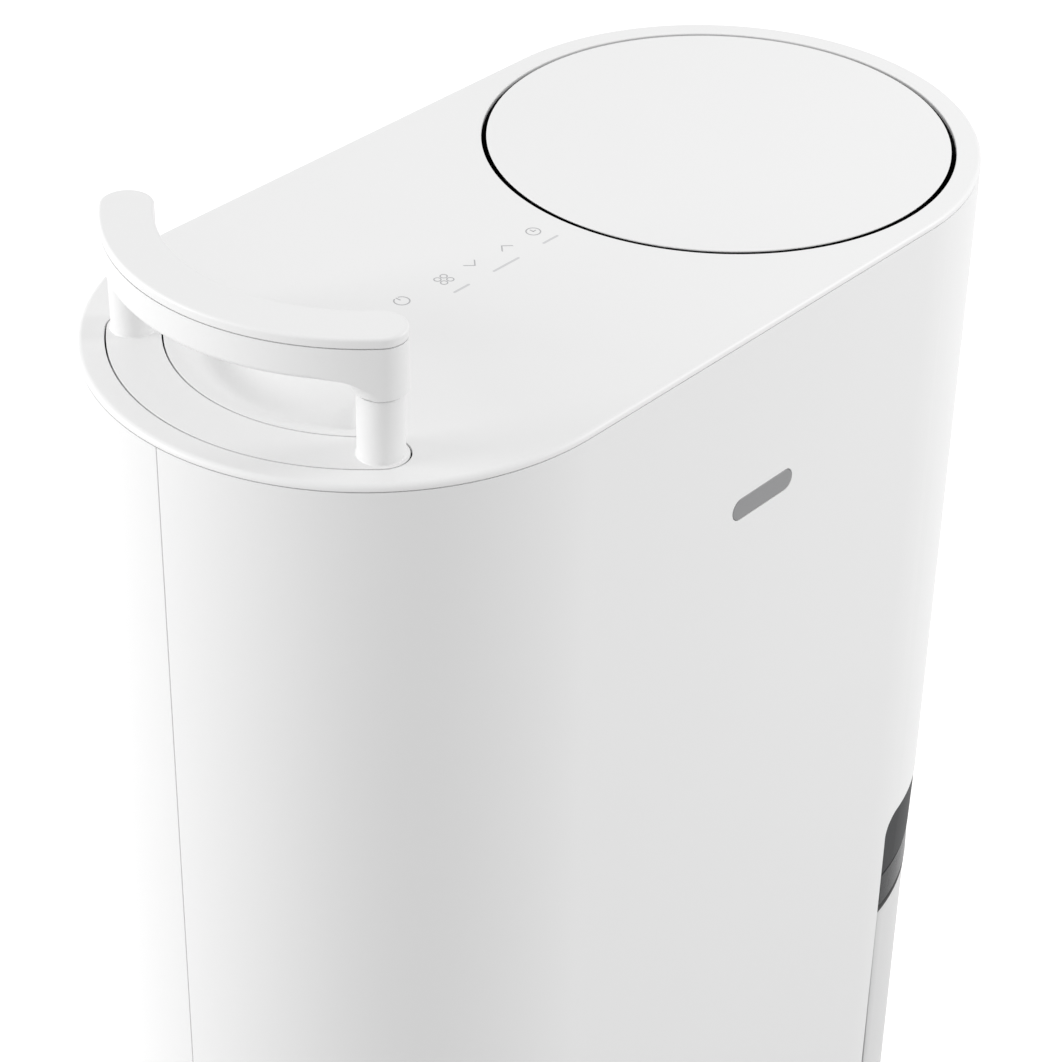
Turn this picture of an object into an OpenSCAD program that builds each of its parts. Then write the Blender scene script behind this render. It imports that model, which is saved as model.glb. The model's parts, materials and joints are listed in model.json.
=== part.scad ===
// Slim upright dehumidifier: an oblong cabinet with round ends, a rising
// carry handle, a tilting round outlet lid and a water tank in one end.
// Millimetres. X runs along the long side towards the tank, the front is -Y,
// Z is up, and the origin is on the floor under the middle of the cabinet.

/* [Cabinet] */
// Radius of the round ends, half of the cabinet's width
body_r = 125; // [120:1:130]
// Distance from the middle to the centre of each round end
axis_x = 120; // [115:1:130]
// Height of the flat top above the floor
body_h = 690; // [660:5:720]
// Thickness of the moulded walls
wall = 2.5; // [2:0.5:3]
// Height of the plinth's upper edge
plinth_h = 36; // [34:1:40]

/* [Lid] */
// Radius of the lid disc
lid_r = 111.2; // [110:0.2:111.6]
// Radius of the round opening in the top
lid_hole_r = 113.2; // [113:0.2:113.8]
// Radius of the spur sector's pitch circle
sector_r = 30; // [30:1:30]
// Teeth on the motor's pinion
pinion_teeth = 14; // [14:1:14]

/* [Handle] */
// Radius of the handle's centre line in plan
handle_r = 100.7; // [98:0.1:101]
// Half of the handle slot's width
slot_hw = 12.5; // [12:0.1:13]
// Half of the angle between the two posts
handle_angle = 46.5; // [40:0.1:50]
// Height of the raised handle above the top, which is also its travel
handle_rise = 60; // [55:1:60]
// Half of the grip's width
grip_hw = 11.6; // [11:0.1:11.8]

/* [Tank] */
// Distance from the middle to the tank's parting line
tank_x = 135.7; // [130:0.1:140]
// Height of the parting line above the finger panel
panel_top = 327; // [320:1:335]
// Height of the tank's upper rim
tank_top = 288; // [282:1:292]
// Height of the white fascia's upper edge
fascia_top = 261; // [255:1:265]

/* [Air path] */
// Height of the fan's axis
fan_z = 480; // [475:1:485]
// Distance from the middle to the fan's axis
fan_x = 20; // [18:1:22]
// Radius of the fan wheel
fan_r = 76; // [70:1:78]
// Blades on the fan wheel
fan_blades = 30; // [24:1:36]
// Half of the rear intake's width
intake_hw = 105; // [95:1:108]
// Lower edge of the rear intake
intake_z0 = 345; // [340:1:350]
// Upper edge of the rear intake
intake_z1 = 605; // [595:1:610]

/* [Drain] */
// Radius of the drain spigot that a hose pushes over
spigot_r = 8; // [7:0.5:9]

/* [Hidden] */
$fn = 96;

inner_r = body_r - wall;
seam = 0.4;
rim_h = 3;
skin = 2.5;
shell_top = body_h - rim_h - seam;
skin_z = body_h - skin;
far = 300;

// Colours
white = [0.93, 0.93, 0.93];
dark = [0.28, 0.28, 0.29];
black = [0.1, 0.1, 0.1];
copper = [0.72, 0.43, 0.28];
steel = [0.7, 0.7, 0.72];

// Lid hinge: just outside the opening's rear edge and under the skin
hinge_y = lid_hole_r + 0.4;
hinge_z = body_h - 5;
hinge_pin_r = 1;
knuckle_r = 2.2;
tray_floor = body_h - 50;
pinion_r = pinion_teeth / 2;
gear_gap = sector_r + pinion_r + 0.1;
mesh_angle = 30;
pinion_y = hinge_y - gear_gap * cos(mesh_angle);
pinion_z = hinge_z - gear_gap * sin(mesh_angle);
gear_x = axis_x - 12;
gear_w = 5;

// Discharge duct of the fan
duct_x0 = 76;
duct_x1 = 133;
scroll_y0 = -62;
scroll_y1 = -2;

// Handle heights
plate_hw = slot_hw - 0.4;
post_r = 10;
leg_z = body_h + 31;
grip_under = body_h + 40;
cap_z = body_h + handle_rise - 4.3;
well_floor = body_h - 78;
skirt_z = body_h - 16;

// Finger scoop in front of the handle
scoop_r = handle_r - slot_hw;
scoop_w = 30;
scoop_d = 14;
scoop_angle = 34;

// Drain
drain_x = 20;
drain_z = 318;
recess_r = 17;
recess_y = 109;
collar_r = 11;

// Pin of the tank's float
float_x = 46;
float_z = 248;

// Casters
caster_x = 172;
caster_y = 72;
wheel_r = 11;
wheel_w = 12;
trail = 8;
pin_r = 4;
caster_pos = [[1, -1], [1, 1], [-1, -1], [-1, 1]];

// Plinth screw boss beside the tank bay, and the rear shell's screws in X and Z
boss_x = 16;
screw_pos = [[-112, 44], [boss_x, 44], [-112, 640], [-20, 640]];

// Compressor's place, and the block that both coils fill, in X and Z
comp_x = -130;
coil_hw = 96;
coil_z0 = 352;
coil_z1 = 598;

// ---------------------------------------------------------------- shapes

// Oblong outline with round ends
module stadium2d(r) {
  for (s = [-1, 1])
    translate([s * axis_x, 0]) circle(r = r);
  square([2 * axis_x, 2 * r], center = true);
}

module stadium(r, z0, z1) {
  translate([0, 0, z0]) linear_extrude(z1 - z0) stadium2d(r);
}

module box(lo, hi) {
  translate(lo) cube(hi - lo);
}

// Round bar along Y, from y0 to y1
module bar_y(r, x, z, y0, y1) {
  translate([x, y0, z]) rotate([-90, 0, 0]) cylinder(r = r, h = y1 - y0);
}

// Round bar along X, from x0 to x1
module bar_x(r, y, z, x0, x1) {
  translate([x0, y, z]) rotate([0, 90, 0]) cylinder(r = r, h = x1 - x0);
}

// Extrude an outline drawn in X and Z along Y, from y0 to y1
module along_y(y0, y1) {
  translate([0, y1, 0]) rotate([90, 0, 0]) linear_extrude(y1 - y0) children();
}

// Extrude an outline drawn in Y and Z along X, from x0 to x1
module along_x(x0, x1) {
  translate([x0, 0, 0]) rotate([90, 0, 90]) linear_extrude(x1 - x0) children();
}

// Crescent about the handle end's centre, with round ends
module crescent2d(hw) {
  reach = 2 * handle_r;
  spread = handle_angle + 0.5;
  intersection() {
    difference() {
      circle(r = handle_r + hw);
      circle(r = handle_r - hw);
    }
    polygon([[0, 0], reach * [cos(180 - spread), sin(180 - spread)],
      [-reach, 0], reach * [cos(180 + spread), sin(180 + spread)]]);
  }
  for (s = [-1, 1])
    rotate(180 + s * handle_angle) translate([handle_r, 0]) circle(r = hw);
}

module crescent(hw, z0, z1) {
  translate([-axis_x, 0, z0]) linear_extrude(z1 - z0) crescent2d(hw);
}

// The two post positions of the handle
module at_posts() {
  for (s = [-1, 1])
    translate([-axis_x, 0, 0]) rotate(180 + s * handle_angle) translate([handle_r, 0, 0])
      children();
}

// Dish that follows the inside of the handle, sunk into the top. A shell
// thicker than 0 gives the outside of its moulded wall.
module scoop(shell) {
  spread = scoop_angle + shell;
  edge = scoop_r - scoop_w - shell;
  depth = scoop_d + shell;
  translate([-axis_x, 0, body_h]) rotate(180 - spread)
    rotate_extrude(angle = 2 * spread)
      polygon([[scoop_r + 2, 2], [scoop_r + 2, -depth], [scoop_r - 9, -depth], [edge, 0], [edge, 2]]);
}

// Opening of the tank bay in the cabinet's side, seen along Y
module tank_cut2d(inset) {
  r = 12 - inset;
  x = tank_x + inset;
  z = panel_top - inset;
  translate([x, 0]) square([far, z - r]);
  translate([x + r, 0]) square([far, z]);
  translate([x + r, z - r]) circle(r = r);
}

// Ring piece about the tank end's centre, between two slanted radii
module end_band(r0, r1, z0, z1, t) {
  translate([axis_x, 0, 0]) rotate(-90)
    rotate_extrude(angle = 180)
      polygon([[r0, z0], [r1, z1], [r1 - t, z1], [r0 - t, z0]]);
}

// Plan of the tank: straight sides and a round front end
module tank2d(hw, x0) {
  translate([x0, -hw]) square([axis_x - x0, 2 * hw]);
  intersection() {
    translate([axis_x, 0]) circle(r = hw);
    translate([x0, -hw]) square([far, 2 * hw]);
  }
}

// Involute spur outline, module 1, one tooth centred on the X axis
function involute(base, a) = base * [cos(a) + a * PI / 180 * sin(a), sin(a) - a * PI / 180 * cos(a)];
function roll_at(base, r) = sqrt(max(0, (r / base) * (r / base) - 1)) * 180 / PI;
function flank(teeth, slack) =
  let (pitch = teeth / 2, base = pitch * cos(20), tip = pitch + 0.95, root = pitch - 1.25,
    at_pitch = involute(base, roll_at(base, pitch)),
    half = 90 / teeth - slack * 90 / (PI * pitch) + atan2(at_pitch[1], at_pitch[0]),
    start = roll_at(base, max(base, root)), stop = roll_at(base, tip))
  concat([root * [cos(half), -sin(half)]],
    [for (i = [0:4]) let (p = involute(base, start + (stop - start) * i / 4))
      [p[0] * cos(half) + p[1] * sin(half), p[1] * cos(half) - p[0] * sin(half)]]);
function tooth(teeth, slack) =
  let (f = flank(teeth, slack), n = len(f))
  concat(f, [for (i = [n - 1:-1:0]) [f[i][0], -f[i][1]]]);

module gear2d(teeth, slack, first, last) {
  for (i = [first:last])
    rotate(i * 360 / teeth) polygon(concat([[teeth / 2 - 2.5, -0.9]], tooth(teeth, slack),
      [[teeth / 2 - 2.5, 0.9]]));
}

// ---------------------------------------------------------------- cabinet

// Cabinet wall with the tank opening, before it is split into halves
module cabinet_wall() {
  difference() {
    stadium(body_r, plinth_h + seam, shell_top);
    stadium(inner_r, plinth_h - 1, body_h);
    along_y(-far, far) tank_cut2d(0);
  }
}

// Upright stiffening ribs along the inside of a wall at y
module wall_ribs(y, xs) {
  for (x = xs)
    box([x - 1, y - 3, 60], [x + 1, y + 3, 640]);
}

module front_shell() color(white) {
  difference() {
    cabinet_wall();
    box([-far, -0.15, 0], [far, far, body_h]);
    badge_shape(0.2, 0.8);
  }
  // Tongue that locates the halves at the handle end
  difference() {
    stadium(inner_r, 60, 600);
    stadium(inner_r - 2, 50, 610);
    box([-far, 6, 0], [far, far, body_h]);
    box([-far, -far, 0], [far, -8, body_h]);
    box([-axis_x, -far, 0], [far, far, body_h]);
  }
  wall_ribs(-inner_r + 2.9, [-100, -40, 20]);
}

module rear_shell() color(white) {
  difference() {
    union() {
      difference() {
        cabinet_wall();
        box([-far, -far, 0], [far, 0.15, body_h]);
      }
      bar_y(recess_r + 2, drain_x, drain_z, recess_y - 2, body_r - 1);
      intersection() {
        box([-163, body_r - 16, 62], [-137, body_r - 7, 84]);
        stadium(body_r - 1, 60, 90);
      }
    }
    // Rear intake and the ledge its grille clips into
    box([-intake_hw, inner_r - 1, intake_z0], [intake_hw, body_r + 1, intake_z1]);
    bar_y(recess_r, drain_x, drain_z, recess_y, body_r + 5);
    bar_y(collar_r + 0.3, drain_x, drain_z, recess_y - 5, recess_y + 5);
    box([-160, body_r - 30, 65], [-140, body_r + 5, 81]);
    for (p = screw_pos)
      bar_y(2.1, p[0], p[1], inner_r - 1, body_r + 1);
    for (p = screw_pos)
      bar_y(4, p[0], p[1], body_r - 1.2, body_r + 1);
  }
}

module top_panel() color(white) {
  difference() {
    union() {
      difference() {
        stadium(body_r, body_h - rim_h, body_h);
        stadium(inner_r - 0.6, body_h - rim_h - 1, skin_z);
      }
      difference() {
        stadium(inner_r - 0.3, body_h - 12, skin_z + 0.1);
        stadium(inner_r - 2.3, body_h - 13, skin_z);
      }
      intersection() {
        scoop(2);
        box([-far, -far, body_h - 30], [0, far, body_h]);
      }
    }
    translate([axis_x, 0, 0]) cylinder(r = lid_hole_r, h = body_h + 1);
    // Room for the outlet tray's hinge pocket behind the lid
    box([axis_x - 30, 112, body_h - 30], [axis_x + 30, inner_r + 0.1, skin_z]);
    crescent(slot_hw, body_h - 40, body_h + 1);
    scoop(0);
  }
}

module base_pan() color(white) {
  difference() {
    union() {
      difference() {
        stadium(body_r, 10, plinth_h);
        stadium(inner_r, 9, plinth_h - 3);
      }
      difference() {
        stadium(inner_r - 0.3, plinth_h - 1, plinth_h + 12);
        stadium(inner_r - 2.3, plinth_h, plinth_h + 13);
        box([28, -far, plinth_h], [far, far, 100]);
      }
      for (p = caster_pos)
        translate([p[0] * caster_x, p[1] * caster_y, 26]) cylinder(r = 8, h = plinth_h - 27);
      // Rails that the tank slides on
      for (s = [-1, 1])
        box([44, s * 60 - 4, plinth_h - 1], [222, s * 60 + 4, plinth_h + 2]);
      // Screw bosses behind the rear shell
      for (x = [-112, boss_x])
        box([x - 5, inner_r - 14, plinth_h - 1], [x + 5, inner_r - 0.4, plinth_h + 14]);
    }
    for (p = caster_pos)
      translate([p[0] * caster_x, p[1] * caster_y, 20]) cylinder(r = pin_r + 0.06, h = 14.8);
    for (x = [-112, boss_x])
      bar_y(1.86, x, 44, inner_r - 13, inner_r + 1);
    // Air slots under the compressor
    for (i = [-3:3])
      box([-60, i * 12 - 2, 20], [-20, i * 12 + 2, plinth_h + 1]);
  }
}

module tank_bay() color([0.8, 0.8, 0.8]) {
  difference() {
    union() {
      box([30, -120.5, plinth_h + 0.2], [132, 120.5, 300]);
      translate([0, 0, 298]) linear_extrude(2) tank2d(120, 30);
    }
    box([32.5, -118.5, plinth_h - 1], [240, 118.5, 297.5]);
    // Hole that water drips through
    translate([85, 60, 290]) cylinder(r = 12, h = 20);
    // Room for the finger pocket
    box([213.5, -62.5, 290], [far, 62.5, 310]);
  }
}

module recess_panel() color(dark) {
  z0 = tank_top + 0.5;
  difference() {
    union() {
      intersection() {
        end_band(body_r - 0.8, body_r - 0.2, z0, panel_top, 2.4);
        along_y(-far, far) tank_cut2d(seam);
      }
      // Walls of the finger pocket
      intersection() {
        box([214, -62, z0 + 9], [241, 62, 323]);
        translate([axis_x, 0, 0]) cylinder(r = body_r - 3.2, h = panel_top);
      }
    }
    box([216, -60, z0 - 5], [far, 60, 321]);
  }
  // Ledge that screws to the drain deck
  difference() {
    translate([axis_x, 0, 322.5]) cylinder(r = 121.6, h = 2);
    box([0, -far, 310], [205, far, 330]);
    box([0, -62, 310], [far, 62, 330]);
  }
}

// ---------------------------------------------------------------- carry handle

module handle_well() color(dark) {
  difference() {
    crescent(slot_hw + 1.6, well_floor - 2, skin_z - 0.1);
    crescent(slot_hw, well_floor, body_h);
    scoop(2.4);
  }
}

// Round-cornered window under the grip, seen along X
module grip_window2d() {
  hw = 61;
  r = 9;
  translate([-hw, leg_z - 5]) square([2 * hw, grip_under - r - leg_z + 5]);
  translate([-hw + r, leg_z - 5]) square([2 * (hw - r), grip_under - leg_z + 5]);
  for (s = [-1, 1])
    translate([s * (hw - r), grip_under - r]) circle(r = r);
}

module handle_grip() color(white) {
  difference() {
    crescent(grip_hw, leg_z, cap_z - 0.3);
    along_x(-far, 0) grip_window2d();
    crescent(8.2, cap_z - 4.5, cap_z + 1);
    at_posts() translate([0, 0, leg_z - 1]) cylinder(r = 7.05, h = 11.3);
  }
}

module handle_cap() color(white) {
  crescent(grip_hw, cap_z, body_h + handle_rise);
  crescent(8, cap_z - 4.2, cap_z + 0.1);
}

module handle_posts() color(white) {
  at_posts() {
    translate([0, 0, skirt_z + 2]) cylinder(r = post_r, h = leg_z - 0.2 - skirt_z - 2);
    translate([0, 0, leg_z - 1]) cylinder(r = 7, h = 11);
    translate([0, 0, body_h - 6]) cylinder(r = post_r + 0.4, h = 2.9);
  }
}

module handle_plate() color(white) {
  difference() {
    crescent(plate_hw, skirt_z, body_h);
    crescent(plate_hw - 1.4, skirt_z - 1, body_h - 3);
    at_posts() translate([0, 0, body_h - 5]) cylinder(r = post_r + 0.1, h = 10);
  }
}

// ---------------------------------------------------------------- outlet and lid

module outlet_tray() color(dark) {
  difference() {
    union() {
      translate([axis_x, 0, tray_floor - 2]) cylinder(r = lid_hole_r + 2, h = skin_z - tray_floor + 1.9);
      box([axis_x - 27, 100, hinge_z - 9], [axis_x + 27, 117.8, skin_z - 0.1]);
      box([duct_x0 - 2, scroll_y0 - 2, tray_floor - 12], [duct_x1 + 2, scroll_y1 + 2, tray_floor]);
    }
    translate([axis_x, 0, tray_floor]) cylinder(r = lid_hole_r + 0.2, h = 60);
    box([axis_x - 25, 95, hinge_z - 7], [axis_x + 25, 116.4, body_h]);
    box([duct_x0, scroll_y0, tray_floor - 20], [duct_x1, scroll_y1, tray_floor + 1]);
  }
  // Cradle of the lid motor
  difference() {
    box([axis_x - 4, pinion_y - 17, tray_floor - 1], [axis_x + 19, pinion_y + 17, tray_floor + 10]);
    bar_x(14.2, pinion_y, pinion_z - 8, axis_x - 6, axis_x + 22);
  }
}

module outlet_grid() color(black) {
  difference() {
    box([duct_x0 - 4, scroll_y0 - 4, tray_floor], [duct_x1 + 4, scroll_y1 + 4, tray_floor + 5]);
    for (i = [0:6])
      translate([duct_x0 + i * 8.3, 0, tray_floor])
        box([0, scroll_y0, -1], [6.5, scroll_y1, 6]);
  }
}

module lid_hinge_bracket() color(steel) {
  difference() {
    union() {
      for (s = [-1, 1])
        translate([axis_x + s * 21, 0, 0]) {
          bar_x(knuckle_r, hinge_y, hinge_z, -1.5, 1.5);
          box([-1.5, hinge_y - 2, hinge_z - 7], [1.5, hinge_y + 2, hinge_z]);
        }
      box([axis_x - 22.5, hinge_y - 3, hinge_z - 7], [axis_x + 22.5, hinge_y + 2.5, hinge_z - 5.5]);
    }
    bar_x(hinge_pin_r + 0.05, hinge_y, hinge_z, axis_x - 30, axis_x + 30);
  }
}

module lid_motor() color(steel) {
  z = pinion_z - 8;
  difference() {
    union() {
      bar_x(14, pinion_y, z, axis_x - 2, axis_x + 17);
      bar_x(4.5, pinion_y, pinion_z, axis_x - 3.5, axis_x - 1);
      box([axis_x - 2, pinion_y - 21, z - 3.5], [axis_x - 1, pinion_y + 21, z + 3.5]);
    }
    bar_x(2.06, pinion_y, pinion_z, axis_x - 5, axis_x + 6);
  }
}

module lid_top() color(white) {
  translate([axis_x, 0, 0])
    rotate_extrude()
      polygon([[0, skin_z], [lid_r - skin, skin_z], [lid_r - 0.6, body_h - 0.6], [lid_r, body_h - 0.3],
        [lid_r - 0.3, body_h], [0, body_h]]);
}

// Outline of the lid's hinge arm, seen along X
module lid_arm2d() {
  difference() {
    union() {
      translate([hinge_y, hinge_z]) circle(r = knuckle_r, $fn = 48);
      polygon([[hinge_y, hinge_z + 1.2], [hinge_y - 6, hinge_z - 1.2], [hinge_y - 9, hinge_z - 1.2],
        [hinge_y - 9, skin_z - 0.1], [hinge_y - 17, skin_z - 0.1], [hinge_y - 17, hinge_z - 7.5],
        [hinge_y - 9, hinge_z - 7.5], [hinge_y, hinge_z - 1.8]]);
    }
    translate([hinge_y, hinge_z]) circle(r = hinge_pin_r + 0.01, $fn = 48);
  }
}

module lid_base() color(dark) {
  rib_z = skin_z - 5;
  difference() {
    translate([axis_x, 0, rib_z]) cylinder(r = 100, h = 4.9);
    translate([axis_x, 0, rib_z - 1]) cylinder(r = 97.5, h = 7);
  }
  for (a = [0:30:150])
    intersection() {
      translate([axis_x, 0, rib_z + 3.2]) rotate(a) cube([197, 1.6, 3.4], center = true);
      translate([axis_x, 0, rib_z]) cylinder(r = 98.5, h = 6);
    }
  translate([axis_x, 0, rib_z + 2]) cylinder(r = 22, h = 2.9);
  for (s = [-1, 1])
    along_x(axis_x + s * 15.5 - 3.5, axis_x + s * 15.5 + 3.5) lid_arm2d();
  // Toothed sector that the motor's pinion drives
  along_x(gear_x - gear_w / 2, gear_x + gear_w / 2) {
    translate([hinge_y, hinge_z]) {
      rotate(180 + mesh_angle) gear2d(2 * sector_r, 0.1, -1, 8);
      intersection() {
        difference() {
          circle(r = sector_r - 1.2);
          circle(r = sector_r - 7);
        }
        polygon([[0, 0], 60 * [cos(196), sin(196)], 60 * [cos(232), sin(232)], 60 * [cos(264), sin(264)]]);
      }
    }
    translate([hinge_y - sector_r + 0.5, hinge_z - 9]) square([8, skin_z - 0.1 - hinge_z + 9]);
  }
}

module lid_pin() color(steel) {
  bar_x(hinge_pin_r, hinge_y, hinge_z, axis_x - 23.5, axis_x + 23.5);
}

module lid_pinion() color(white) {
  translate([0, pinion_y, pinion_z]) {
    along_x(gear_x - 3, gear_x + 3)
      rotate(mesh_angle + 180 / pinion_teeth) {
        gear2d(pinion_teeth, 0.15, 0, pinion_teeth - 1);
        circle(r = pinion_r - 1.2);
      }
    translate([gear_x, 0, 0]) rotate([0, 90, 0]) cylinder(r = 2, h = 16);
  }
}

// ---------------------------------------------------------------- fan

// Spiral outline of the blower housing, seen along Y from the front
function spiral(extra) = [for (a = [50:10:360])
  (fan_r + 8 + extra + (a - 50) / 10) * [cos(a), sin(a)]];

module scroll2d(extra) {
  top = tray_floor - 12.5 - fan_z;
  translate([fan_x, fan_z])
    polygon(concat(spiral(extra),
      [[duct_x1 + extra - fan_x, 40], [duct_x1 + extra - fan_x, top],
        [duct_x0 - extra - fan_x, top], [duct_x0 - extra - fan_x, (fan_r + 8) * sin(50) + 8]]));
}

module scroll_front() color(black) {
  y_mid = -30;
  difference() {
    along_y(scroll_y0, y_mid - 0.2) scroll2d(2);
    along_y(scroll_y0 + 2, y_mid + 1) scroll2d(0);
    box([duct_x0, scroll_y0 + 2, 560], [duct_x1, y_mid + 1, tray_floor]);
    bar_y(30, fan_x, fan_z, scroll_y0 - 1, scroll_y0 + 3);
  }
}

module scroll_rear() color(black) {
  y_mid = -30;
  difference() {
    union() {
      along_y(y_mid, scroll_y1) scroll2d(2);
      bar_y(70, fan_x, fan_z, scroll_y1 - 1, scroll_y1 + 8);
    }
    along_y(y_mid - 1, scroll_y1 - 2) scroll2d(0);
    box([duct_x0, y_mid - 1, 560], [duct_x1, scroll_y1 - 2, tray_floor]);
    bar_y(66, fan_x, fan_z, scroll_y1 - 10, scroll_y1 + 9);
  }
}

module fan_motor() color(steel) {
  difference() {
    union() {
      bar_y(42, fan_x, fan_z, -98, scroll_y0 - 4);
      bar_y(24, fan_x, fan_z, scroll_y0 - 5, scroll_y0 + 2);
      for (a = [45:90:315])
        translate([fan_x, scroll_y0, fan_z]) rotate([0, a, 0]) box([-6, -4.2, 30], [6, -0.3, 52]);
    }
    bar_y(4.06, fan_x, fan_z, -90, 0);
  }
}

module fan_wheel() color(black) {
  y0 = -54;
  difference() {
    union() {
      bar_y(fan_r, fan_x, fan_z, y0, y0 + 2);
      bar_y(14, fan_x, fan_z, y0, y0 + 24);
      difference() {
        bar_y(fan_r, fan_x, fan_z, y0 + 43, y0 + 46);
        bar_y(fan_r - 10, fan_x, fan_z, y0 + 42, y0 + 47);
      }
      translate([fan_x, y0 + 46, fan_z]) rotate([90, 0, 0])
        for (i = [0:fan_blades - 1])
          rotate(i * 360 / fan_blades) translate([fan_r - 9.5, 0, 0.1])
            rotate(35) translate([0, -0.7, 0]) cube([9.5, 1.4, 45]);
    }
    bar_y(4.02, fan_x, fan_z, y0 - 1, y0 + 25);
  }
}

module fan_shaft() color(steel) {
  bar_y(4, fan_x, fan_z, -88, -28);
}

// ---------------------------------------------------------------- cooling circuit

// Finned coil: end plates, fins and the return bends at both ends
module coil(y0, y1) {
  fins = 32;
  pitch = (2 * coil_hw - 1.2) / fins;
  for (i = [0:fins])
    box([-coil_hw + i * pitch, y0, coil_z0], [-coil_hw + i * pitch + 1.2, y1, coil_z1]);
  for (z = [coil_z0, coil_z1 - 1.5])
    box([-coil_hw, y0, z], [coil_hw, y1, z + 1.5]);
  for (s = [-1, 1])
    for (i = [0:4])
      translate([s * coil_hw, (y0 + y1) / 2, coil_z0 + 28 + i * 48]) rotate([90, 0, s * 90 + 90])
        rotate(-90) rotate_extrude(angle = 180) translate([11, 0]) circle(r = 4, $fn = 24);
}

module evaporator() color(steel) coil(62, 96);

module condenser() color(steel) coil(20, 50);

module coil_pipes() color(copper) {
  // Risers to the coils at the handle end: suction from the accumulator and
  // discharge from the top of the compressor
  bar_x(4, 78, 234, -134, -60);
  for (riser = [[-134, 78, 234], [-152, 36, 238.5]]) {
    translate(riser) cylinder(r = 4, h = 580 - riser[2]);
    bar_x(4, riser[1], 580, riser[0], -coil_hw - 16);
  }
}

module drain_pan() color([0.8, 0.8, 0.8]) {
  difference() {
    union() {
      box([-108, 8, 331], [108, 104, 347]);
      box([drain_x - 14, 70, 304], [drain_x + 14, 104, 333]);
    }
    box([-106, 10, 333], [106, 102, 348]);
    box([drain_x - 12, 72, 306], [drain_x + 12, 102, 340]);
    translate([85, 60, 320]) cylinder(r = 6, h = 30);
    bar_y(spigot_r + 0.1, drain_x, drain_z, 100, 106);
  }
  difference() {
    translate([85, 60, 303]) cylinder(r = 8, h = 29);
    translate([85, 60, 300]) cylinder(r = 6, h = 40);
  }
}

module drain_spigot() color([0.75, 0.75, 0.75]) {
  difference() {
    union() {
      bar_y(spigot_r, drain_x, drain_z, 102.5, body_r - 1);
      bar_y(collar_r, drain_x, drain_z, 104.2, recess_y);
    }
    bar_y(spigot_r - 2, drain_x, drain_z, 100, body_r);
  }
}

module drain_plug() color(black) {
  bar_y(spigot_r - 2.1, drain_x, drain_z, 112, body_r - 0.7);
  bar_y(spigot_r - 0.2, drain_x, drain_z, body_r - 0.8, body_r);
}

module compressor() color(black) {
  difference() {
    translate([comp_x, 0, 52]) cylinder(r = 58, h = 178);
    translate([comp_x, 0, 55]) cylinder(r = 54.5, h = 172);
  }
  translate([comp_x, 0, 229]) cylinder(r1 = 54, r2 = 30, h = 14);
  for (a = [0:120:240])
    translate([comp_x, 0, 50]) rotate(a) difference() {
      box([40, -14, 0], [76, 14, 3]);
      translate([68, 0, -1]) cylinder(r = 5.1, h = 5);
    }
}

module compressor_motor() color(steel) {
  translate([comp_x, 0, 70]) cylinder(r = 46, h = 100);
}

module compressor_feet() color(black) {
  for (a = [0:120:240])
    translate([comp_x, 0, 0]) rotate(a) translate([68, 0, 0]) {
      translate([0, 0, plinth_h]) cylinder(r = 9, h = 13.9);
      translate([0, 0, 49]) cylinder(r = 5, h = 6);
      translate([0, 0, 53.2]) cylinder(r = 8, h = 4);
    }
}

module accumulator() color(black) {
  translate([-60, 78, 90]) {
    cylinder(r = 20, h = 110);
    translate([0, 0, 110]) cylinder(r1 = 20, r2 = 8, h = 12);
    translate([0, 0, -12]) cylinder(r1 = 8, r2 = 20, h = 12);
    translate([0, 0, 120]) cylinder(r = 4, h = 20);
  }
}

// ---------------------------------------------------------------- electrics

module control_board() color([0.1, 0.35, 0.2]) {
  box([-104, -112, 470], [-62, -110.2, 640]);
  for (p = [[-96, 480, 16], [-92, 520, 22], [-98, 570, 12], [-84, 600, 14]])
    box([p[0], -110.3, p[1]], [p[0] + p[2], -96, p[1] + 24]);
  for (z = [478, 632])
    bar_y(3, -83, z, -119, -111.9);
}

module touch_board() color([0.1, 0.35, 0.2]) {
  box([-112, -16, body_h - 8], [3, 20, body_h - 6.2]);
  for (x = [-95.8, -69.6, -51.1, -29.6, -10.2])
    translate([x, 3, body_h - 6.3]) cylinder(r = 5, h = 3.7);
}

module level_switch() color(black) {
  box([24, 40, 250], [30, 66, 275]);
}

module power_inlet() color(black) {
  difference() {
    box([-159.8, body_r - 29, 65.2], [-140.2, body_r - 12.5, 80.8]);
    box([-157.5, body_r - 26, 68.5], [-142.5, body_r, 77.5]);
  }
  for (s = [-1, 1])
    bar_y(1.2, -150 + s * 4.3, 73, body_r - 27, body_r - 14);
}

module body_screws() color(steel) {
  for (p = screw_pos) {
    bar_y(1.8, p[0], p[1], inner_r - 11, body_r - 1);
    bar_y(3.7, p[0], p[1], body_r - 1.15, body_r);
  }
}

// Plain pill-shaped badge, sunk flush into the front
module badge_shape(extra, depth) {
  translate([2.5, -body_r, 599]) along_y(-1, depth) {
    square([32, 2 * (5.5 + extra)], center = true);
    for (s = [-1, 1])
      translate([s * 16, 0]) circle(r = 5.5 + extra);
  }
}

module badge() color([0.6, 0.6, 0.6]) {
  intersection() {
    badge_shape(0, 0.8);
    box([-60, -body_r, 580], [60, 0, 620]);
  }
}

// ---------------------------------------------------------------- water tank

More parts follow.
